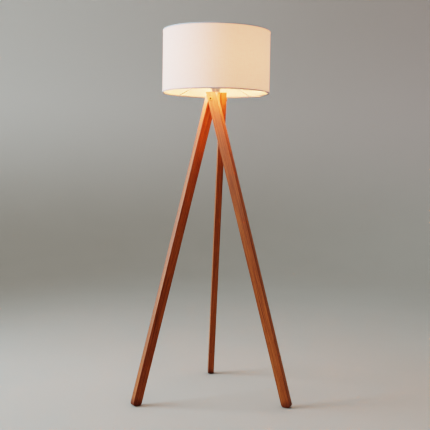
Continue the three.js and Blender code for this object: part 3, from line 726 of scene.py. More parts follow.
BLACK = plastic("black_plastic", (0.025, 0.022, 0.02), 0.42)
NYLON = plastic("brown_nylon", (0.11, 0.055, 0.03), 0.5)
PHOSPHOR = plastic("led_phosphor", (0.85, 0.62, 0.12), 0.4)
CERAMIC = unglazed("steatite", (0.78, 0.75, 0.69))
WHITE_WIRE = powder_coat("white_powder_coat", (0.88, 0.86, 0.82))
CLOTH = cloth("shade_cotton", 1.18)
HEM_CLOTH = cloth("hem_cotton", 1.18, hem=True)
STYRENE = styrene("white_styrene")
DIFFUSER = glowing("lit_diffuser", 533.0)

# ---------------------------------------------------------------- making pieces


def piece(name, part, place, body, finish, node=None, crease=32):
    """One piece of the lamp: part in mm, in the frame place. node is the CAD node it stands for."""
    points, faces = part
    mesh = bpy.data.meshes.new(name)
    mesh.from_pydata([Vector(p) * MM for p in points], [], faces)
    tidy = bmesh.new()
    tidy.from_mesh(mesh)
    bmesh.ops.recalc_face_normals(tidy, faces=tidy.faces)
    tidy.to_mesh(mesh)
    tidy.free()
    mesh.shade_smooth()
    mesh.set_sharp_from_angle(angle=radians(crease))
    mesh.materials.append(finish)
    obj = bpy.data.objects.new(name, mesh)
    bpy.context.scene.collection.objects.link(obj)
    obj.matrix_world = place
    if body:
        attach(obj, body)
    if node:
        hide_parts(node)
    return obj


def carve(obj, cutters, crease=32):
    """Cuts the cutters out of obj. A cutter is (part, matrix in the row frame)."""
    for part, place in cutters:
        tool = piece("cutter", part, place, None, None)
        cut = obj.modifiers.new("cut", "BOOLEAN")
        cut.operation = "DIFFERENCE"
        cut.solver = "EXACT"
        cut.object = tool
        bpy.context.view_layer.update()
        graph = bpy.context.evaluated_depsgraph_get()
        result = bpy.data.meshes.new_from_object(obj.evaluated_get(graph))
        obj.modifiers.remove(cut)
        old, obj.data = obj.data, result
        bpy.data.meshes.remove(old)
        bpy.data.objects.remove(tool)
    obj.data.set_sharp_from_angle(angle=radians(crease))


def weighted(obj):
    """Large faces keep their own normals, and the small faces of rounded edges take up the turn."""
    obj.modifiers.new("weighted normals", "WEIGHTED_NORMAL").keep_sharp = True


# ---------------------------------------------------------------- the timber stand


def slat_section(height):
    """Left and right end of the slat's level section at height, in the leg frame."""
    share = height / HUB_TOP
    half = lerp(LEG_WIDTH_FOOT, LEG_WIDTH_TOP, share) / 2
    centre = slat_centre(height)
    return centre - half, centre + half


def corner_cut(rise, radius, slope):
    """How far an end corner's arc stands in from its straight side, rise mm above the level end.
    slope is the angle between the level end and the side."""
    tangent = radius / tan(slope / 2)
    top = tangent * sin(slope)
    if rise >= top:
        return 0.0
    along = sqrt(max(radius ** 2 - (radius - rise) ** 2, 0))
    from_corner = tangent - along
    return from_corner - rise / tan(slope)


def slat_levels():
    """Heights of the slat's sections: close together at both ends, where its corners turn."""
    levels = []
    for k in range(17):
        levels.append(LEG_BOTTOM + 16 * (1 - cos(pi / 2 * k / 16)))
    levels += [lerp(levels[-1], HUB_TOP - 5, k / 90) for k in range(1, 91)]
    levels += [HUB_TOP - 5 * (1 - sin(pi / 2 * k / 8)) for k in range(1, 9)]
    return levels


def slat_part(seed):
    """The slat in its leg frame, from y = 0 to -LEG_THICKNESS, lofted through level sections."""
    inner = pi / 2 - LEAN
    outer = pi / 2 + LEAN
    rings = []
    for height in slat_levels():
        left, right = slat_section(height)
        rise, fall = height - LEG_BOTTOM, HUB_TOP - height
        left += corner_cut(rise, LEG_FOOT_RADIUS, outer) + corner_cut(fall, LEG_TOP_RADIUS, inner)
        right -= corner_cut(rise, LEG_FOOT_RADIUS, inner) + corner_cut(fall, LEG_TOP_RADIUS, outer)
        nearest = min(rise, fall, LEG_EDGE_RADIUS)
        inset = LEG_EDGE_RADIUS - sqrt(LEG_EDGE_RADIUS ** 2 - (LEG_EDGE_RADIUS - nearest) ** 2)
        softness = LEG_EDGE_RADIUS * (1 + 0.35 * noise.noise(Vector((seed, 0, height / 60))))
        corners = [
            (left, -inset, softness), (left, -LEG_THICKNESS + inset, softness),
            (right, -LEG_THICKNESS + inset, softness), (right, -inset, softness),
        ]
        rings.append([(x, y, height) for x, y in sides_divided(rounded(corners, 4), 5, (3, 6))])
    return loft(rings)


def sides_divided(outline, per_corner, parts):
    """An outline of rounded corners with each straight side cut into parts, by turns."""
    result = []
    for k, point in enumerate(outline):
        result.append(point)
        if k % per_corner == per_corner - 1:
            following = Vector(outline[(k + 1) % len(outline)])
            count = parts[k // per_corner % len(parts)]
            result += [tuple(Vector(point).lerp(following, step / count)) for step in range(1, count)]
    return result


def worn(part, seed, depth):
    """A part whose surface wanders by up to depth mm, as hand-sanded timber's does."""
    points, faces = part
    result = []
    for x, y, z in points:
        where = Vector((x / 26, y / 26, z / 140))
        push = noise.noise_vector(where + Vector((seed, 0, 0)))
        result.append((x + push.x * depth, y + push.y * depth, z))
    return result, faces


def make_slat(name, seed):
    seat = LEG_FRAMES[name] @ Matrix.Translation((0, -LEG_SEAT * MM, 0))
    obj = piece(f"{name}_leg_slat", worn(slat_part(seed), seed, 0.12), seat, f"{name}_leg",
                SLAT_TIMBERS[name], f"{name}_leg")
    hole_radius = BOLT_RADIUS + FIT_GAP
    hole = lathe([
        (0, -2, 0), (hole_radius + 2.4, -2, 0), (hole_radius, 0.4, 0),
        (hole_radius, LEG_THICKNESS - 0.4, 0), (hole_radius + 2.4, LEG_THICKNESS + 2, 0),
        (0, LEG_THICKNESS + 2, 0),
    ], 40)
    below = -pi / 2
    outline = arc_slot(STOP_PIN_DROP, STOP_PIN_RADIUS + FIT_GAP, below, below + LEAN)
    slot = moved(slab(outline, SLOT_DEPTH + 1, 0.2), Matrix.Translation((0, 0, -1)))
    nail = lathe([(0, -4, 0), (1.3, -4, 0), (1.3, 15, 0), (0, 16, 0)], 16)
    carve(obj, [
        (hole, facing_out(name, LEG_SEAT)),
        (slot, facing_out(name, LEG_SEAT)), (nail, glide_frame(name)),
    ])
    weighted(obj)


def arc_slot(path_radius, half_width, start, end, steps=10):
    """A slot that follows an arc round the origin, with round ends."""
    outline = []

    def arc(centre, radius, first, last):
        for k in range(steps + 1):
            angle = lerp(first, last, k / steps)
            outline.append((centre[0] + radius * cos(angle), centre[1] + radius * sin(angle)))

    arc((0, 0), path_radius + half_width, start, end)
    arc(polar(path_radius, end), half_width, end + 0.3, end + pi - 0.3)
    arc((0, 0), path_radius - half_width, end, start)
    arc(polar(path_radius, start), half_width, start + pi + 0.3, start + 2 * pi - 0.3)
    return outline


def glide_frame(name):
    """On the floor, under the middle of the flat that the rounded foot leaves."""
    low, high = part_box(f"{name}_foot_glide")
    return Matrix.Translation(((low.x + high.x) / 2, (low.y + high.y) / 2, 0))


def glide_part():
    return lathe([
        (0, 0, 0), (5.4, 0, 0.4), (6.5, 0.9, 0.6), (6.5, 2, 0.3), (1.6, 2, 0.4), (1.0, 2.8, 0.5),
        (1.0, 13, 0.2), (0, 15, 0),
    ], 40)


def bolt_part():
    """The furniture bolt, along +Z from the slat's inner face: thread, shank, head and socket."""
    under = LEG_THICKNESS + FIT_GAP
    top = under + BOLT_HEAD_HEIGHT
    socket = BOLT_SOCKET_FLATS / sqrt(3)
    corners = [
        (0, -BOLT_IN_HUB, 0), (BOLT_RADIUS - 0.7, -BOLT_IN_HUB, 0.1),
        (BOLT_RADIUS, 0.7 - BOLT_IN_HUB, 0.1), (BOLT_RADIUS, under, 0.3),
        (BOLT_HEAD_RADIUS - 0.3, under, 0.2), (BOLT_HEAD_RADIUS, under + 0.5, 0.3),
        (BOLT_HEAD_RADIUS, top - 1.0, 0.4), (BOLT_HEAD_RADIUS - 1.3, top, 0.5),
        (socket + 0.55, top, 0.2), (socket, top - 0.45, 0.15), (socket, top - 1.7, 0.1),
        (0, top - 2.1, 0),
    ]
    cut_thread = thread(0.5 - BOLT_IN_HUB, 8.0, 1.0, 0.42, least=BOLT_RADIUS - 0.1, most=BOLT_RADIUS + 0.1)

    def shape(radius, height, angle):
        if height > top - 2.2 and radius <= socket + 0.01:
            return radius * hex_radius(BOLT_SOCKET_FLATS, angle) / socket
        return cut_thread(radius, height, angle)

    return lathe(corners, 72, shape, fine=(0.5 - BOLT_IN_HUB, 8.2, 0.125))


def insert_part():
    """The screwed-in brass sleeve, with its coarse outside thread, from its inner end up."""
    corners = [
        (3.3, 0, 0.2), (4.2, 0, 0.2), (4.7, 0.8, 0.2), (4.7, INSERT_LENGTH - 0.5, 0.2),
        (4.3, INSERT_LENGTH, 0.1), (3.3, INSERT_LENGTH, 0.2),
    ]
    shape = thread(0.4, INSERT_LENGTH - 0.5, 1.9, 0.6, least=4.4)
    return lathe(corners, 48, shape, fine=(0.4, INSERT_LENGTH - 0.3, 0.2))


def stop_pin_part():
    radius, length = STOP_PIN_RADIUS, STOP_PIN_IN_HUB + FIT_GAP + STOP_PIN_IN_LEG
    return lathe([(0, 0, 0), (radius - 0.4, 0, 0.2), (radius, 0.5, 0.2), (radius, length - 0.9, 0.3),
                  (radius - 0.8, length, 0.3), (0, length, 0)], 40)


def make_hub():
    """A triangle of timber with rounded corners, bored for the nipple, inserts and stop pins."""
    corners = [(*polar(2 * HUB_APOTHEM, radians(90 + 120 * i)), HUB_CORNER_RADIUS) for i in range(3)]
    part = slab(rounded(corners, 12), HUB_HEIGHT, 1.1, 4)
    place = LEG_FRAMES["front"] @ Matrix.Translation((0, 0, (HUB_TOP - HUB_HEIGHT) * MM))
    hub = piece("hub_block_timber", part, place, "hub", HUB_TIMBER, "hub_block")
    bore = lathe([(0, -1, 0), (6.3, -1, 0), (5.3, 0.4, 0), (5.3, HUB_HEIGHT - 0.4, 0),
                  (6.3, HUB_HEIGHT + 1, 0), (0, HUB_HEIGHT + 1, 0)], 40)
    cutters = [(bore, place)]
    pocket = lathe([(0, 0, 0), (5, 0, 0), (5, 14, 0), (0, 14, 0)], 32)
    bore_radius = STOP_PIN_RADIUS + FIT_GAP
    pin_hole = lathe([(0, 0, 0), (bore_radius, 0, 0), (bore_radius, 11, 0), (0, 11, 0)], 32)
    for name in LEG_NAMES:
        pocket_floor = HUB_APOTHEM - INSERT_LENGTH - FIT_GAP
        cutters.append((pocket, facing_out(name, pocket_floor)))
        hole_floor = HUB_APOTHEM - STOP_PIN_IN_HUB - FIT_GAP
        cutters.append((pin_hole, facing_out(name, hole_floor, STOP_PIN_DROP)))
    carve(hub, cutters)
    weighted(hub)


def make_stand():
    make_hub()
    for seed, name in enumerate(LEG_NAMES):
        make_slat(name, 3.7 * seed + 1)
        piece(f"{name}_bolt_bronzed", bolt_part(), facing_out(name, LEG_SEAT),
              "hub", BRONZE, f"{name}_leg_bolt")
        piece(f"{name}_insert_brass", insert_part(),
              facing_out(name, HUB_APOTHEM - INSERT_LENGTH),
              "hub", BRASS, f"{name}_threaded_insert")
        piece(f"{name}_stop_pin_steel", stop_pin_part(),
              facing_out(name, HUB_APOTHEM - STOP_PIN_IN_HUB, STOP_PIN_DROP),
              "hub", STEEL, f"{name}_stop_pin")
        piece(f"{name}_glide_nylon", glide_part(), glide_frame(name), f"{name}_leg",
              NYLON, f"{name}_foot_glide")


# ---------------------------------------------------------------- the wiring way through the hub


def make_nipple():
    tube = lathe([(3.5, 0, 0.2), (4.6, 0, 0.1), (5, 0.5, 0.1), (5, 75.5, 0.1), (4.6, 76, 0.1),
                  (3.5, 76, 0.2)], 40, thread(0.4, 75.6, 1.0, 0.45, least=4.8), fine=(0.4, 75.6, 0.14))
    piece("nipple_threaded", tube, raised(NIPPLE_BASE), "hub", STEEL, "nipple")

    washer = lathe([(5.3, 0, 0.2), (12.6, 0, 0.4), (13, 0.75, 0.4), (12.6, 1.5, 0.4), (5.3, 1.5, 0.2)], 72)
    piece("hub_washer_steel", washer, raised(HUB_WASHER_BASE), "hub", STEEL, "hub_washer")

    corner_radius = HUB_NUT_FLATS / sqrt(3)

    def hexagonal(radius, height, angle):
        return min(radius, hex_radius(HUB_NUT_FLATS, angle)) if radius > 6.5 else radius

    nut = lathe([(5.3, 0.5, 0.1), (5.9, 0, 0.1), (6.9, 0, 0), (corner_radius, 0.75, 0),
                 (corner_radius, 3.25, 0), (6.9, 4, 0), (5.9, 4, 0.1), (5.3, 3.5, 0.1)], 72, hexagonal)
    piece("hub_nut_steel", nut, raised(HUB_NUT_BASE), "hub", STEEL, "hub_nut")

    ribs = [(3.4, 0, 0.3), (5.0, 0, 0.6), (5.9, 1.0, 0.4)]
    for k in range(3):
        low = 1.6 + 2.4 * k
        radius = 6.0 + 0.5 * k
        ribs += [(radius, low, 0.2), (radius, low + 1.3, 0.3), (radius - 0.8, low + 1.5, 0.2),
                 (radius - 0.8, low + 2.2, 0.2)]
    ribs += [(7.5, 9.0, 0.3), (7.5, 14, 0.4), (5.3, 14, 0.2), (5.3, 9.1, 0.1), (3.4, 9.1, 0.2)]
    piece("cord_bush_moulded", lathe(ribs, 48), raised(CORD_BUSH_BASE), "hub", BLACK,
          "cord_bush")


# ---------------------------------------------------------------- the lampholder


def ring_nut_part():
    """A shade ring nut with a finger-grip edge."""
    corners = [
        (SKIRT_RADIUS + 0.3, 0.4, 0.2), (SKIRT_RADIUS + 0.9, 0, 0.2),
        (RING_NUT_RADIUS - 0.7, 0, 0.4), (RING_NUT_RADIUS, 0.7, 0.4),
        (RING_NUT_RADIUS, RING_NUT_HEIGHT - 0.7, 0.4),
        (RING_NUT_RADIUS - 0.7, RING_NUT_HEIGHT, 0.4), (SKIRT_RADIUS + 0.9, RING_NUT_HEIGHT, 0.2),
        (SKIRT_RADIUS + 0.3, RING_NUT_HEIGHT - 0.4, 0.2),
    ]

    def grip(radius, height, angle):
        if radius < RING_NUT_RADIUS - 1.2:
            return radius
        return radius - 0.9 * max(0, cos(18 * angle)) ** 3

    return lathe(corners, 216, grip)


def strip_part(path, thickness, width):
    """A bent strip of sheet metal that follows path (x, z), width wide across Y."""
    points = [Vector(p) for p in rounded([(x, z, r) for x, z, r in path], 5, closed=False)]
    rings = []
    for i, point in enumerate(points):
        along = (points[min(i + 1, len(points) - 1)] - points[max(i - 1, 0)]).normalized()
        across = Vector((-along.y, along.x)) * thickness / 2
        left, right = point + across, point - across
        half = width / 2
        rings.append([(left.x, -half, left.y), (right.x, -half, right.y),
                      (right.x, half, right.y), (left.x, half, left.y)])
    return loft(rings)


def make_lampholder():
    flare = []
    for step in range(9):
        share = step / 8
        flare.append((lerp(HOLDER_NECK_RADIUS, HOLDER_SHOULDER_RADIUS, smooth(0, 1, share)),
                      lerp(21, 29, share), 0))
    cap = lathe([
        (5.3, 0, 0.2), (HOLDER_NECK_RADIUS - 1, 0, 0.3), (HOLDER_NECK_RADIUS, 1, 0.6),
        *flare,
        (HOLDER_SHOULDER_RADIUS, 33.4, 0.2), (HOLDER_SHOULDER_RADIUS - 0.5, 33.8, 0.2),
        (HOLDER_SHOULDER_RADIUS - 0.5, 34.6, 0.2), (HOLDER_SHOULDER_RADIUS, 35, 0.2),
        (HOLDER_SHOULDER_RADIUS, HOLDER_CAP_HEIGHT, 0.3),
        (SKIRT_RADIUS - 1, HOLDER_CAP_HEIGHT, 0.2), (SKIRT_RADIUS - 1, 26, 0.3),
        (HOLDER_NECK_RADIUS - 2, 23, 0.5), (HOLDER_NECK_RADIUS - 2, 3, 1.0), (5.3, 3, 0.2),
    ], 96)
    base = raised(HOLDER_BASE)
    piece("holder_cap_moulded", cap, base, "hub", IVORY, "holder_cap")

    skirt = lathe([
        (SKIRT_BORE_RADIUS, 27, 0.3), (SKIRT_RADIUS - 1.3, 27, 0.3),
        (SKIRT_RADIUS - 1.3, 36.3, 0.1), (HOLDER_SHOULDER_RADIUS, 36.3, 0.3),
        (HOLDER_SHOULDER_RADIUS, 38.3, 0.5), (SKIRT_RADIUS, 38.9, 0.4), (SKIRT_RADIUS, 69.2, 0.3),
        (SKIRT_RADIUS - 0.8, SKIRT_TOP, 0.4), (SKIRT_BORE_RADIUS + 0.5, SKIRT_TOP, 0.3),
        (SKIRT_BORE_RADIUS, 69.4, 0.3),
    ], 96, thread(40, 69, 2.5, 0.8, least=SKIRT_RADIUS - 0.2, most=SKIRT_RADIUS + 0.1), fine=(39.5, 69, 0.25))
    piece("holder_skirt_threaded", skirt, base, "hub", IVORY, "holder_skirt")

    core = lathe([
        (0, 12, 0), (14.0, 12, 0.5), (14.7, 12.7, 0.4), (14.7, 22, 0.5), (11.5, 24, 0.6),
        (11.5, 35.2, 0.3), (10.8, 36, 0.4), (5.2, 36, 0.3), (4.8, 35.6, 0.2), (0, 35.6, 0),
    ], 72)
    piece("holder_core_steatite", core, base, "hub", CERAMIC, "holder_core")

    contact = lathe([(0, 36.3, 0), (3.3, 36.3, 0.2), (3.5, 36.8, 0.2), (3.0, 37.6, 0.4), (1.6, 38, 0.4),
                     (0, 38, 0)], 40)
    piece("centre_contact_brass", contact, base, "hub", BRASS, "centre_contact")

    strip = strip_part([(12.0, 24.65, 0), (14.25, 24.65, 0.9), (14.5, 40, 6), (14.15, 45.5, 2),
                        (14.6, 48, 0)], 0.5, 5)
    piece("side_contact_brass", strip, base, "hub", BRASS, "side_contact")

    screw = lathe([(0, 6.5, 0), (2.2, 6.5, 0.3), (2.7, 7.1, 0.3), (2.7, 8.4, 0.2), (1.5, 8.4, 0.2),
                   (1.5, 11.7, 0.2), (0, 11.7, 0)], 40,
                  thread(8.6, 11.6, 0.5, 0.25, least=1.4, most=1.6), fine=(8.5, 11.6, 0.07))
    slot = slab([(-4, -0.3), (4, -0.3), (4, 0.3), (-4, 0.3)], 1.6, 0.05)
    for i, side in enumerate((-1, 1)):
        place = base @ Matrix.Translation((10 * side * MM, 0, 0))
        obj = piece(f"terminal_screw_{i + 1}_brass", screw, place, "hub", BRASS,
                    f"terminal_screw_{i + 1}")
        turn = Matrix.Rotation(radians(35 + 70 * i), 4, "Z")
        carve(obj, [(slot, place @ turn @ Matrix.Translation((0, 0, 5.9 * MM)))])

    lower = SPIDER_LEVEL - 0.3 - RING_NUT_HEIGHT
    upper = SPIDER_LEVEL + 2.3
    piece("lower_ring_nut_moulded", ring_nut_part(), raised(HOLDER_BASE + lower), "hub",
          IVORY, "lower_shade_ring_nut")
    piece("upper_ring_nut_moulded", ring_nut_part(), raised(HOLDER_BASE + upper), "upper_ring_nut",
          IVORY, "upper_shade_ring_nut")


# ---------------------------------------------------------------- the shade


def sleeve_rise(distance, total):
    """How far the sleeve stands out, distance mm along it, to climb onto its own first edge."""
    return LAP_HEIGHT * smooth(total - LAP_WIDTH - LAP_CLIMB, total - LAP_WIDTH - 2, distance)


def unevenness(angle, height):
    """A shade is never quite round: up to about half a millimetre out."""
    where = Vector((*polar(1.3, angle), height / 260))
    return 0.35 * noise.noise(where * 1.6)


def sleeve_part(radius, thickness, columns=300, rows=16):
    """A sheet rolled into the drum and lapped on itself, radius mm to its outer face."""
    total = 2 * pi * radius + LAP_WIDTH
    start = radians(SEAM_HEADING) - LAP_WIDTH / radius / 2
    bottom, top = SHADE_BOTTOM + CLOTH_MARGIN, SHADE_TOP - CLOTH_MARGIN
    lap_columns = 12
    stations = [lerp(0, total - 60, k / columns) for k in range(columns)]
    stations += [lerp(total - 60, total, k / (4 * lap_columns)) for k in range(4 * lap_columns + 1)]
    rings = []
    for distance in stations:
        angle = start + distance / radius
        rise = sleeve_rise(distance, total)
        ring = []
        for depth, levels in ((0, range(rows + 1)), (thickness, range(rows, -1, -1))):
            for level in levels:
                z = lerp(bottom, top, level / rows)
                r = radius - depth + rise + unevenness(angle, z)
                ring.append((*polar(r, angle), z))
        rings.append(ring)
    return loft(rings)


def hem_part(level, up, seed):
    """A hem: a strip of the cloth folded over the edge of the drum and its rim wire. level is the
    end of the shade, and up is 1 for the bottom hem and -1 for the top one."""
    t = CLOTH_THICKNESS
    outer, inner = SHADE_RADIUS, HEM_INNER_RADIUS
    corners = [
        (outer, HEM_DEPTH, 0.2), (outer - t, HEM_DEPTH, 0.2), (outer - t, t, 0.9),
        (inner + t, t, 2.4), (inner + t, HEM_RETURN, 0.2), (inner, HEM_RETURN, 0.2),
        (inner, 0, 3.0), (outer, 0, 1.5),
    ]
    outline = rounded(corners, 4)
    middle = (outer + inner) / 2
    columns = 360
    seam = radians(SEAM_HEADING)
    rings = []
    for column in range(columns):
        angle = 2 * pi * column / columns
        around = (angle - seam + pi) % (2 * pi) - pi
        distance = around * outer
        climb = smooth(-LAP_WIDTH / 2 - LAP_CLIMB, -LAP_WIDTH / 2 - 2, distance)
        drop = smooth(LAP_WIDTH / 2 - 1, LAP_WIDTH / 2 + 5, distance)
        rise = LAP_HEIGHT * climb * (1 - drop)
        edge = 0.35 * noise.noise(Vector((*polar(9, angle), seed)))
        ring = []
        for radius, height in outline:
            outside = smooth(middle, outer - 1, radius)
            depth_share = smooth(2, HEM_RETURN, height)
            z = level + up * (height + edge * depth_share)
            r = radius + rise * outside + unevenness(angle, z)
            ring.append((*polar(r, angle), z))
        rings.append(ring)
    points, faces = loft(rings)
    count = len(outline)
    faces = faces[1:-1]
    last = (columns - 1) * count
    faces += [[last + i, last + (i + 1) % count, (i + 1) % count, i] for i in range(count)]
    return points, faces


def rim_wire_part(level, welds):
    """A ring of wire, butt-welded where it closes, with the beads that hold the arms."""
    sides = 14

    def thickened(radius, height, angle):
        around = (angle - radians(SEAM_HEADING + 40) + pi) % (2 * pi) - pi
        swell = 0.16 * exp(-((around * RIM_WIRE_CENTRE / 2.2) ** 2))
        return RIM_WIRE_CENTRE + (radius - RIM_WIRE_CENTRE) * (1 + swell)

    profile = []
    for k in range(sides):
        angle = 2 * pi * k / sides
        profile.append((RIM_WIRE_CENTRE + RIM_WIRE_RADIUS * cos(angle),
                        level + RIM_WIRE_RADIUS * sin(angle)))
    profile.append(profile[0])
    parts = [turned(profile, 360, thickened)]
    for i, angle in enumerate(welds):
        centre = (*polar(RIM_WIRE_CENTRE - 2, angle), level)
        parts.append(bead(centre, (1.9, 1.9, 1.7), 5.1 * i))
    return joined(*parts)


def arm_angles():
    return [radians(SPIDER_HEADING + 360 * i / SPIDER_ARM_COUNT) for i in range(SPIDER_ARM_COUNT)]


def coated(name, part):
    """A piece of the white wire frame, which stands for the CAD node called name."""
    piece(f"{name}_coated", part, LAMP, "shade", WHITE_WIRE, name)


def make_shade():
    cotton = piece("shade_cloth_sleeve", sleeve_part(CLOTH_RADIUS, CLOTH_THICKNESS), LAMP, "shade",
                   CLOTH, "shade_fabric")
    liner = piece("shade_styrene_sleeve", sleeve_part(LINER_RADIUS, LINER_THICKNESS), LAMP, "shade",
                  STYRENE, "shade_liner")
    low_hem = piece("bottom_hem_cloth", hem_part(SHADE_BOTTOM, 1, 2.0), LAMP, "shade",
                    HEM_CLOTH, "bottom_hem")
    high_hem = piece("top_hem_cloth", hem_part(SHADE_TOP, -1, 9.0), LAMP, "shade",
                     HEM_CLOTH, "top_hem")
    slit = slab([(-3, -2.1), (3, -2.1), (3, 2.1), (-3, 2.1)], HEM_RETURN + 1, 0.3)
    slits = []
    for angle in arm_angles():
        turn = Matrix.Rotation(angle, 4, "Z")
        shift = Matrix.Translation(((HEM_INNER_RADIUS - 0.5) * MM, 0, (SHADE_BOTTOM + 1.0) * MM))
        slits.append((slit, LAMP @ turn @ shift))
    carve(low_hem, slits)

    wire_low, wire_high = SHADE_BOTTOM + RIM_WIRE_INSET, SHADE_TOP - RIM_WIRE_INSET
    coated("bottom_rim_wire", rim_wire_part(wire_low, arm_angles()))
    coated("top_rim_wire", rim_wire_part(wire_high, []))

    ring_low = HOLDER_BASE + SPIDER_LEVEL
    ring = lathe([(SKIRT_RADIUS + 0.3, ring_low, 0.4), (SPIDER_RING_RADIUS, ring_low, 0.7),
                  (SPIDER_RING_RADIUS, ring_low + 2, 0.7), (SKIRT_RADIUS + 0.3, ring_low + 2, 0.4)], 96)
    middle = ring_low + 1
    beads = []
    radius = SPIDER_RING_RADIUS - 0.2
    for i, angle in enumerate(arm_angles()):
        centre = (*polar(radius, angle), middle)
        beads.append(bead(centre, (2.2, 2.2, 1.5), 3.3 * i))
    coated("spider_ring", joined(ring, *beads))

    inner, outer = SPIDER_RING_RADIUS - 0.6, RIM_WIRE_CENTRE - RIM_WIRE_RADIUS - 0.2
    for i, angle in enumerate(arm_angles()):
        bends = [(inner, middle, 0), (inner + 9, middle - 1.6, 14), (outer - 10, wire_low + 2.9, 14),
                 (outer, wire_low, 0)]
        path = [(*polar(r, angle), z) for r, z in rounded(bends, 6, closed=False)]
        coated(f"spider_arm_{i + 1}", wire(path, SPIDER_ARM_RADIUS, 16))


# ---------------------------------------------------------------- the bulb


def make_bulb():
    base = raised(BULB_BASE)
    cap_radius = BULB_CAP_RADIUS
    contact = lathe([(0, 0, 0), (2.6, 0, 0.5), (4.3, 1.1, 0.4), (4.5, 2, 0.2), (0, 2, 0)], 48)
    piece("bulb_contact_plated", contact, base, "bulb", NICKEL, "bulb_contact")
    insulator = lathe([(0, 2.3, 0), (5.2, 2.3, 0.4), (8, 3.1, 0.4), (8, 5.5, 0.2), (0, 5.5, 0)], 48)
    piece("bulb_insulator_glass", insulator, base, "bulb", BLACK, "bulb_insulator")
    shell = lathe([
        (9, 2.5, 0.3), (cap_radius - 1.5, 4, 0.8), (cap_radius, 6.5, 1.0), (cap_radius, 28.5, 0.2),
        (cap_radius - 0.8, 28.5, 0.2), (cap_radius - 0.8, 6.8, 1.0), (8.4, 3.9, 0.3),
        (8.4, 2.9, 0.2),
    ], 72, thread(5.5, 27, 3.63, 1.0, least=11), fine=(5.5, 27, 0.36))
    piece("bulb_screw_cap", shell, base, "bulb", NICKEL, "bulb_cap")

    plug = cap_radius - 2.3
    housing = lathe([
        (0, 8.5, 0), (plug, 8.5, 0.4), (plug, 28.8, 0.2), (cap_radius + 0.6, 28.8, 0.4),
        (cap_radius + 1.4, 34.5, 3.0), (19, 44.5, 8.0), (24.5, 56, 0.4), (22.5, 56, 0.4),
        (17.5, 46.5, 0.5), (0, 46.5, 0),
    ], 96)
    piece("bulb_housing_moulded", housing, base, "bulb", WHITE_HOUSING, "bulb_housing")

    board = lathe([(0, 46.8, 0), (16.2, 46.8, 0.3), (16.5, 47.2, 0.2), (16.5, 48.4, 0.3), (0, 48.4, 0)], 72)
    piece("led_board_metal", board, base, "bulb", ALUMINIUM, "led_board")
    chip = slab(rounded([(-1.4, -1.75, 0.3), (1.4, -1.75, 0.3), (1.4, 1.75, 0.3), (-1.4, 1.75, 0.3)], 3),
                0.8, 0.15)
    chips = []
    for i in range(12):
        turn = Matrix.Rotation(2 * pi * i / 12, 4, "Z")
        chips.append(moved(chip, turn @ Matrix.Translation((12, 0, 48.4))))
    piece("led_chips", joined(*chips), base, "bulb", PHOSPHOR)

    widest = BULB_LENGTH - BULB_RADIUS
    seat = 56.3
    lowest = asin((seat - widest) / BULB_RADIUS)
    steps = 28
    outside, inside = [], []
    for k in range(steps + 1):
        angle = lerp(lowest, pi / 2, k / steps)
        outside.append((BULB_RADIUS * cos(angle), widest + BULB_RADIUS * sin(angle)))
        inside.append(((BULB_RADIUS - 1) * cos(angle), widest + (BULB_RADIUS - 1) * sin(angle)))
    outside[-1] = (0, BULB_LENGTH)
    inside[-1] = (0, BULB_LENGTH - 1)
    globe = turned(outside + inside[::-1] + outside[:1], 96)
    piece("bulb_diffuser_frosted", globe, base, "bulb", DIFFUSER, "bulb_diffuser")


# ---------------------------------------------------------------- studio

STUDIO_RADIUS = 6.5
STUDIO_CURVE = 2.8
STUDIO_HEIGHT = 5.0


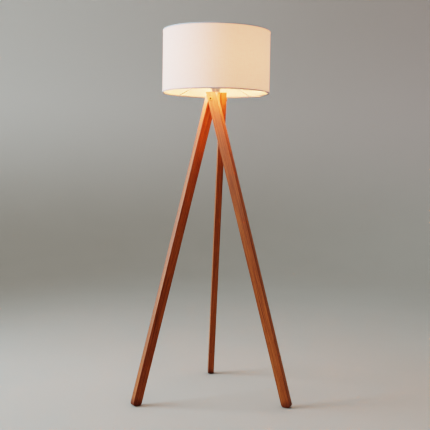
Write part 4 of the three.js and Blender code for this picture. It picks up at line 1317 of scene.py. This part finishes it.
def make_studio():
    """A pale floor that curves up into a round wall, with painted light that makes the wall lighter at the
    left and darker and warmer at the right, open to a plain sky, with a soft lamp at the left and a small
    one for the light that the shade throws down on the timber."""
    f = Finish("studio_paper", roughness=0.85, specular_ior_level=0.2)
    cloud = f.noise(scale=1.5, detail=3)
    floor = f.mix(f.range(cloud, 0.3, 0.7), (0.462, 0.424, 0.365), (0.476, 0.437, 0.377))
    x, y, z = f.split(f.place())
    # painted light: the wall's colour runs from lighter and cooler at the left to darker and warmer at the
    # right
    wall = f.mix(f.range(x, -2.4, 2.4), (0.88, 0.85, 0.79), (0.60, 0.52, 0.47))
    f.set(base_color=f.mix(f.range(z, 0.05, 1.8, kind="SMOOTHSTEP"), floor, wall))
    profile = [(0, 0)]
    profile += [(r, 0) for r in (0.5, 1, 2, 3, STUDIO_RADIUS - STUDIO_CURVE)]
    for k in range(1, 17):
        angle = pi / 2 * k / 16
        profile.append((STUDIO_RADIUS - STUDIO_CURVE * (1 - sin(angle)),
                        STUDIO_CURVE * (1 - cos(angle))))
    profile.append((STUDIO_RADIUS, STUDIO_HEIGHT))
    points, faces = turned([(r / MM, z / MM) for r, z in profile], 96)
    bowl = piece("studio_floor", (points, faces), LAMP, None, f.material)

    world = bpy.data.worlds.new("studio_sky")
    world.use_nodes = True
    sky = world.node_tree.nodes["Background"]
    sky.inputs["Color"].default_value = (0.8625, 0.932, 1.0, 1)
    sky.inputs["Strength"].default_value = 0.646
    bpy.context.scene.world = world

    add_softbox("key", (-3.3, -0.45, 1.75), (0, 0, 1.1), (2.2, 1.6), 56, (0.60, 0.82, 1.0), spread=100)
    add_softbox("mouth", (0, 0, 1.289), (0, 0, 0), (0.26, 0.26), 3.6, (1.0, 0.49, 0.31))


def add_softbox(name, place, aim, size, power, colour, spread=180):
    """A soft lamp that the camera doesn't see."""
    data = bpy.data.lights.new(name, "AREA")
    data.shape = "RECTANGLE"
    data.size, data.size_y = size
    data.spread = radians(spread)
    data.energy = power
    data.color = colour
    light = bpy.data.objects.new(name, data)
    light.visible_camera = False
    bpy.context.scene.collection.objects.link(light)
    light.location = LAMP @ Vector(place)
    toward = LAMP @ Vector(aim) - light.location
    light.rotation_euler = toward.to_track_quat("-Z", "Y").to_euler()


make_stand()
make_nipple()
make_lampholder()
make_shade()
make_bulb()
make_studio()
view = bpy.context.scene.view_settings
view.view_transform = "Filmic"
view.look = "Very High Contrast"
